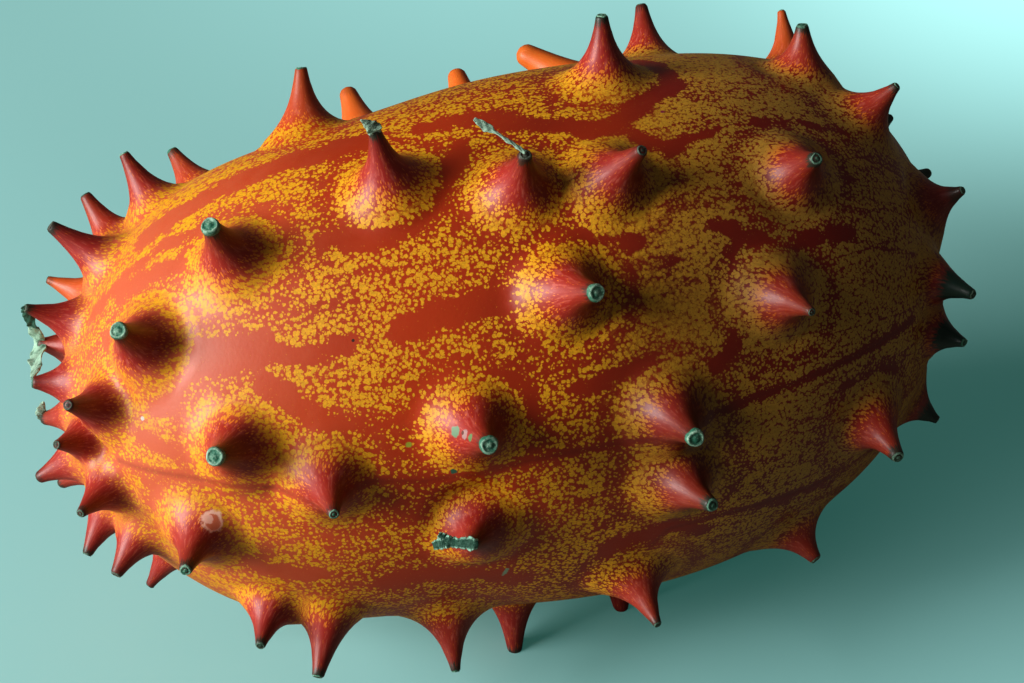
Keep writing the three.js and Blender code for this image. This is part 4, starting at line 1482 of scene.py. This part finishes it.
def fruit_parts():
    sizes = settings("melon_rind")
    skin = Skin(sizes.length / MM, sizes.diameter / MM)
    spines = all_spines(skin, sizes.foot_radius / MM)
    for number, spine in enumerate(spines):
        spine.number = number
        place = (spine.longitude, spine.station)
        wide = place in WIDE_TIPS
        spine.round = place in ROUND_TIPS
        spine.pale = CUP_TONES[0] + CUP_TONES[1] * draw(number + CUP_SEED)
        if wide or place in DARK_TIPS:
            spine.pale = 1 if wide else 0
        if spine.station < END_CUPS[1]:
            spine.pale *= END_CUPS[0]
        share = TIP_SHARES[0] + (TIP_SHARES[1] - TIP_SHARES[0]) * draw(number + TIP_SEED)
        share = WIDE_TIP_SHARE if wide else ROUND_TIPS.get(place, share)
        spine.tip_radius = REST_RADIUS if spine.rests else share * sizes.tip_radius / MM
    return skin, spines


def off_tip(spine, distance):
    return spine.tip() + spine.tip_direction() * distance


def remains_shape(skin):
    """The strip over three tips of the blossom end. Its shade is its height."""
    first, second, third = (off_tip(Spine(skin, *values), REMAINS_OFF) for values in REMAINS_SPINES)
    route = [first, first * 0.8 + second * 0.2, (first + second) / 2 + REMAINS_SAG, second,
             second * 0.5 + third * 0.5 + REMAINS_SAG, third * 0.9 + second * 0.1]
    strip = dried_strip(route, REMAINS_WIDTHS, REMAINS_THICKNESS, REMAINS_ACROSS, 0.14, 3, 110)
    points, faces = strip[:2]
    height = points[:, 2]
    return points, faces, (height - height.min()) / np.ptp(height)


def strand_shape(skin):
    """The strand that stands out from one tip."""
    spine = Spine(skin, *STRAND_SPINE)
    start = off_tip(spine, STRAND_OFF)
    along, round_, down = STRAND_REACH
    route = [start - share * (along * spine.lengthwise + round_ * spine.crosswise)
             + share * (1 - share * down) * spine.normal for share in STRAND_BENDS]
    return dried_strip(route, STRAND_WIDTHS, STRAND_THICKNESS, spine.crosswise, 0.06, 8)


def flakes_shape(skin):
    """The papery flakes on two tips."""
    flakes = []
    for number, (values, widths, across, bends) in enumerate(FLAKES):
        tip = off_tip(Spine(skin, *values), FLAKE_OFF)
        route = [tip + bend for bend in bends]
        flakes.append(dried_strip(route, widths, FLAKE_THICKNESS, across, 0.04, 31 + number, 40))
    return joined(flakes)


def fork_shape(skin):
    """The forked scrap, which lies across one tip."""
    spine = Spine(skin, *SCRAP_SPINE)
    up = spine.tip_direction()
    along = spine.lengthwise - spine.lengthwise.dot(up) * up
    along /= np.linalg.norm(along)
    across = np.cross(up, along)
    start = off_tip(spine, FORK_OFF)
    parts = []
    for bends, widths, thickness, crinkle, seed, steps in FORK:
        route = [start + x * along + y * across + z * up for x, y, z in bends]
        parts.append(dried_strip(route, widths, thickness, across, crinkle, seed, steps))
    return joined(parts)


class MELON_OT_fruit(bpy.types.Operator):
    """Makes the fruit: the bare skin, raised into spines, with its rind"""

    bl_idname = "melon.fruit"
    bl_label = "Fruit"

    def execute(self, context):
        sizes = settings("melon_rind")
        skin, spines = fruit_parts()
        base = bare_skin(skin, spines, sizes.skin_points)
        roots = spine_roots(spines)
        line, widths = bare_paths(skin)
        paths = mesh_object("bare_paths", line * MM, attributes={"half_width": widths * MM})
        lines = np.concatenate([path_points(skin, bends, CREASE_SPACING) for bends in CREASES])
        creases = mesh_object("creases", lines * MM)
        rind = rind_material(sizes, settings("melon_colours"))
        values = {"Roots": roots, "Bare Paths": paths, "Creases": creases, "Neck": sizes.neck,
                  "Bend Power": BEND_POWER, "Rind": rind}
        fruit = apply_nodes(base, raise_spines_group(), values, "fruit_rind")
        discard(base, roots, paths, creases)
        finish_piece(fruit, "fruit")
        return {"FINISHED"}


class MELON_OT_tip_cups(bpy.types.Operator):
    """Makes the small dried cups on the spine tips"""

    bl_idname = "melon.tip_cups"
    bl_label = "Tip cups"

    def execute(self, context):
        spines = [spine for spine in fruit_parts()[1] if not spine.rests and not spine.round]
        attributes = {
            "stand": [spine.tip_direction() for spine in spines],
            "tip_size": [spine.tip_radius * CUP_SIZES[spine.pale < 1] for spine in spines],
            "tip_tone": [spine.pale for spine in spines],
        }
        tips = mesh_object("tips", [spine.tip() * MM for spine in spines], attributes=attributes)
        points, faces = lathed(CUP_OUTLINE, CUP_SIDES,
                               lambda angle, height: 1 + 0.03 * math.sin(3 * angle + 1))
        inner = np.repeat(CUP_PALENESS[1:-1], CUP_SIDES)
        pale = np.concatenate([CUP_PALENESS[:1], inner, CUP_PALENESS[-1:]])
        cup = mesh_object("cup", points * MM, faces, {"cup_pale": pale})
        smooth(cup)
        values = {"Cup": cup, "Least Size": CUP_VARIATION[0], "Greatest Size": CUP_VARIATION[1],
                  "Warp": CUP_WARP * MM, "Seed": CUP_VARIATION_SEED,
                  "Material": cup_material(settings("melon_scraps"))}
        cups = apply_nodes(tips, place_cups_group(), values, "tip_cups")
        discard(tips, cup)
        finish_piece(cups, None)
        return {"FINISHED"}


class MELON_OT_stalk(bpy.types.Operator):
    """Makes the woody end of the stalk"""

    bl_idname = "melon.stalk"
    bl_label = "Stalk"

    def execute(self, context):
        skin = fruit_parts()[0]
        colours = settings("melon_scraps")

        def ridges(angle, height):
            return 1 + 0.05 * math.sin(5 * angle) + 0.03 * math.sin(13 * angle + height)

        points, faces = lathed(STUB_OUTLINE, STUB_SIDES, ridges)
        up = skin.normal(STUB_LONGITUDE, STUB_STATION)
        side = np.cross((0, 0, 1), up)
        side /= np.linalg.norm(side)
        seat = skin.point(STUB_LONGITUDE, STUB_STATION) + up * STUB_SEAT
        axes = np.stack([side, np.cross(up, side), up])
        stub = mesh_object("stalk_wood", (points @ axes + seat) * MM, faces)
        smooth(stub)
        wood = dry_material("dry_wood", colours.wood, darker(colours.wood, 0.35), 1.0, 0.85)
        stub.data.materials.append(wood)
        finish_piece(stub, "stalk_stub")
        return {"FINISHED"}


class MELON_OT_scraps(bpy.types.Operator):
    """Makes the dried scraps of the flower on the spine tips"""

    bl_idname = "melon.scraps"
    bl_label = "Dried scraps"

    def execute(self, context):
        skin = fruit_parts()[0]
        colours = settings("melon_scraps")
        paper = dry_material("dried_paper", colours.paper, darker(colours.paper, 0.3), 1.2)
        petal = dry_material("dried_petal", colours.paper, PETAL_DARK, 1.2, shading=PETAL_SHADING)
        green = dry_material("green_paper", FORK_LIGHT, darker(colours.green, 0.5), 1.6, shading=FORK_SHADING)
        self.piece("remains_strip", remains_shape(skin), petal, "flower_remains")
        self.piece("seed_strand", strand_shape(skin), paper, "dry_strand")
        self.piece("tip_flakes", flakes_shape(skin), paper, None)
        self.piece("forked_scrap", fork_shape(skin), green, "tip_scrap")
        return {"FINISHED"}

    def piece(self, name, shape, material, node):
        points, faces, shade = shape
        made = mesh_object(name, points * MM, faces, {"shade": shade})
        smooth(made)
        made.data.materials.append(material)
        finish_piece(made, node)


class MELON_OT_stage(bpy.types.Operator):
    """Makes the floor, the light and the camera"""

    bl_idname = "melon.stage"
    bl_label = "Stage"

    def execute(self, context):
        stage = settings("melon_stage")
        context.scene.view_settings.view_transform = "Standard"
        target = Vector(SKIN_MIDDLE) * MM - Vector((0, 0, AIM_DROP * MM))
        self.floor(stage)
        self.light(stage, target)
        self.camera(stage, target)
        return {"FINISHED"}

    def floor(self, stage):
        corners = [(x * FLOOR_REACH, y * FLOOR_REACH, 0) for x, y in ((-1, -1), (1, -1), (1, 1), (-1, 1))]
        floor = mesh_object("floor", corners, [(0, 1, 2, 3)])
        floor.data.materials.append(floor_material(stage))

    def light(self, stage, target):
        """One large lamp, and a weak light from all round."""
        lamp = bpy.data.lights.new("key_light", "AREA")
        lamp.size = KEY_SIZE
        lamp.energy = stage.key_power
        lamp.color = KEY_TINT
        azimuth, elevation = (math.radians(angle) for angle in KEY_ANGLES)
        self.aimed("key_light", lamp, target, azimuth, elevation, KEY_DISTANCE)
        world = bpy.data.worlds.new("soft_light")
        world.use_nodes = True
        sky = world.node_tree.nodes["Background"].inputs
        sky["Color"].default_value = SKY_TINT
        sky["Strength"].default_value = stage.fill
        bpy.context.scene.world = world

    def camera(self, stage, target):
        lens = bpy.data.cameras.new("camera")
        lens.sensor_width = SENSOR_WIDTH
        lens.lens = SENSOR_WIDTH / 2 / math.tan(stage.field / 2)
        lens.clip_start = 0.01
        camera = self.aimed("camera", lens, target, stage.azimuth, stage.elevation, stage.distance)
        bpy.context.scene.camera = camera

    def aimed(self, name, data, target, azimuth, elevation, distance):
        """An object that looks at the target from a distance."""
        obj = bpy.data.objects.new(name, data)
        bpy.context.scene.collection.objects.link(obj)
        back = Vector((math.sin(azimuth) * math.cos(elevation), -math.cos(azimuth) * math.cos(elevation),
                       math.sin(elevation)))
        obj.location = target + back * distance
        obj.rotation_euler = back.to_track_quat("Z", "Y").to_euler()
        return obj


class MELON_PT_panel(bpy.types.Panel):
    """Lists the settings and the pieces in the sidebar"""

    bl_idname = "MELON_PT_panel"
    bl_label = "Horned melon"
    bl_space_type = "VIEW_3D"
    bl_region_type = "UI"
    bl_category = "Horned melon"

    def draw(self, context):
        for name, group in PROPERTIES.items():
            box = self.layout.box()
            for key in group.__annotations__:
                box.prop(getattr(context.scene, name), key)
        for operator in OPERATORS:
            self.layout.operator(operator.bl_idname)


OPERATORS = (MELON_OT_stage, MELON_OT_fruit, MELON_OT_tip_cups, MELON_OT_stalk, MELON_OT_scraps)


def register():
    for kind in (*PROPERTIES.values(), *OPERATORS, MELON_PT_panel):
        bpy.utils.register_class(kind)
    for name, group in PROPERTIES.items():
        setattr(bpy.types.Scene, name, bpy.props.PointerProperty(type=group))


def unregister():
    for name in PROPERTIES:
        delattr(bpy.types.Scene, name)
    for kind in reversed((*PROPERTIES.values(), *OPERATORS, MELON_PT_panel)):
        bpy.utils.unregister_class(kind)


def main():
    register()
    bpy.ops.melon.stage()
    bpy.ops.melon.fruit()
    bpy.ops.melon.tip_cups()
    bpy.ops.melon.stalk()
    bpy.ops.melon.scraps()


if __name__ == "__main__":
    main()
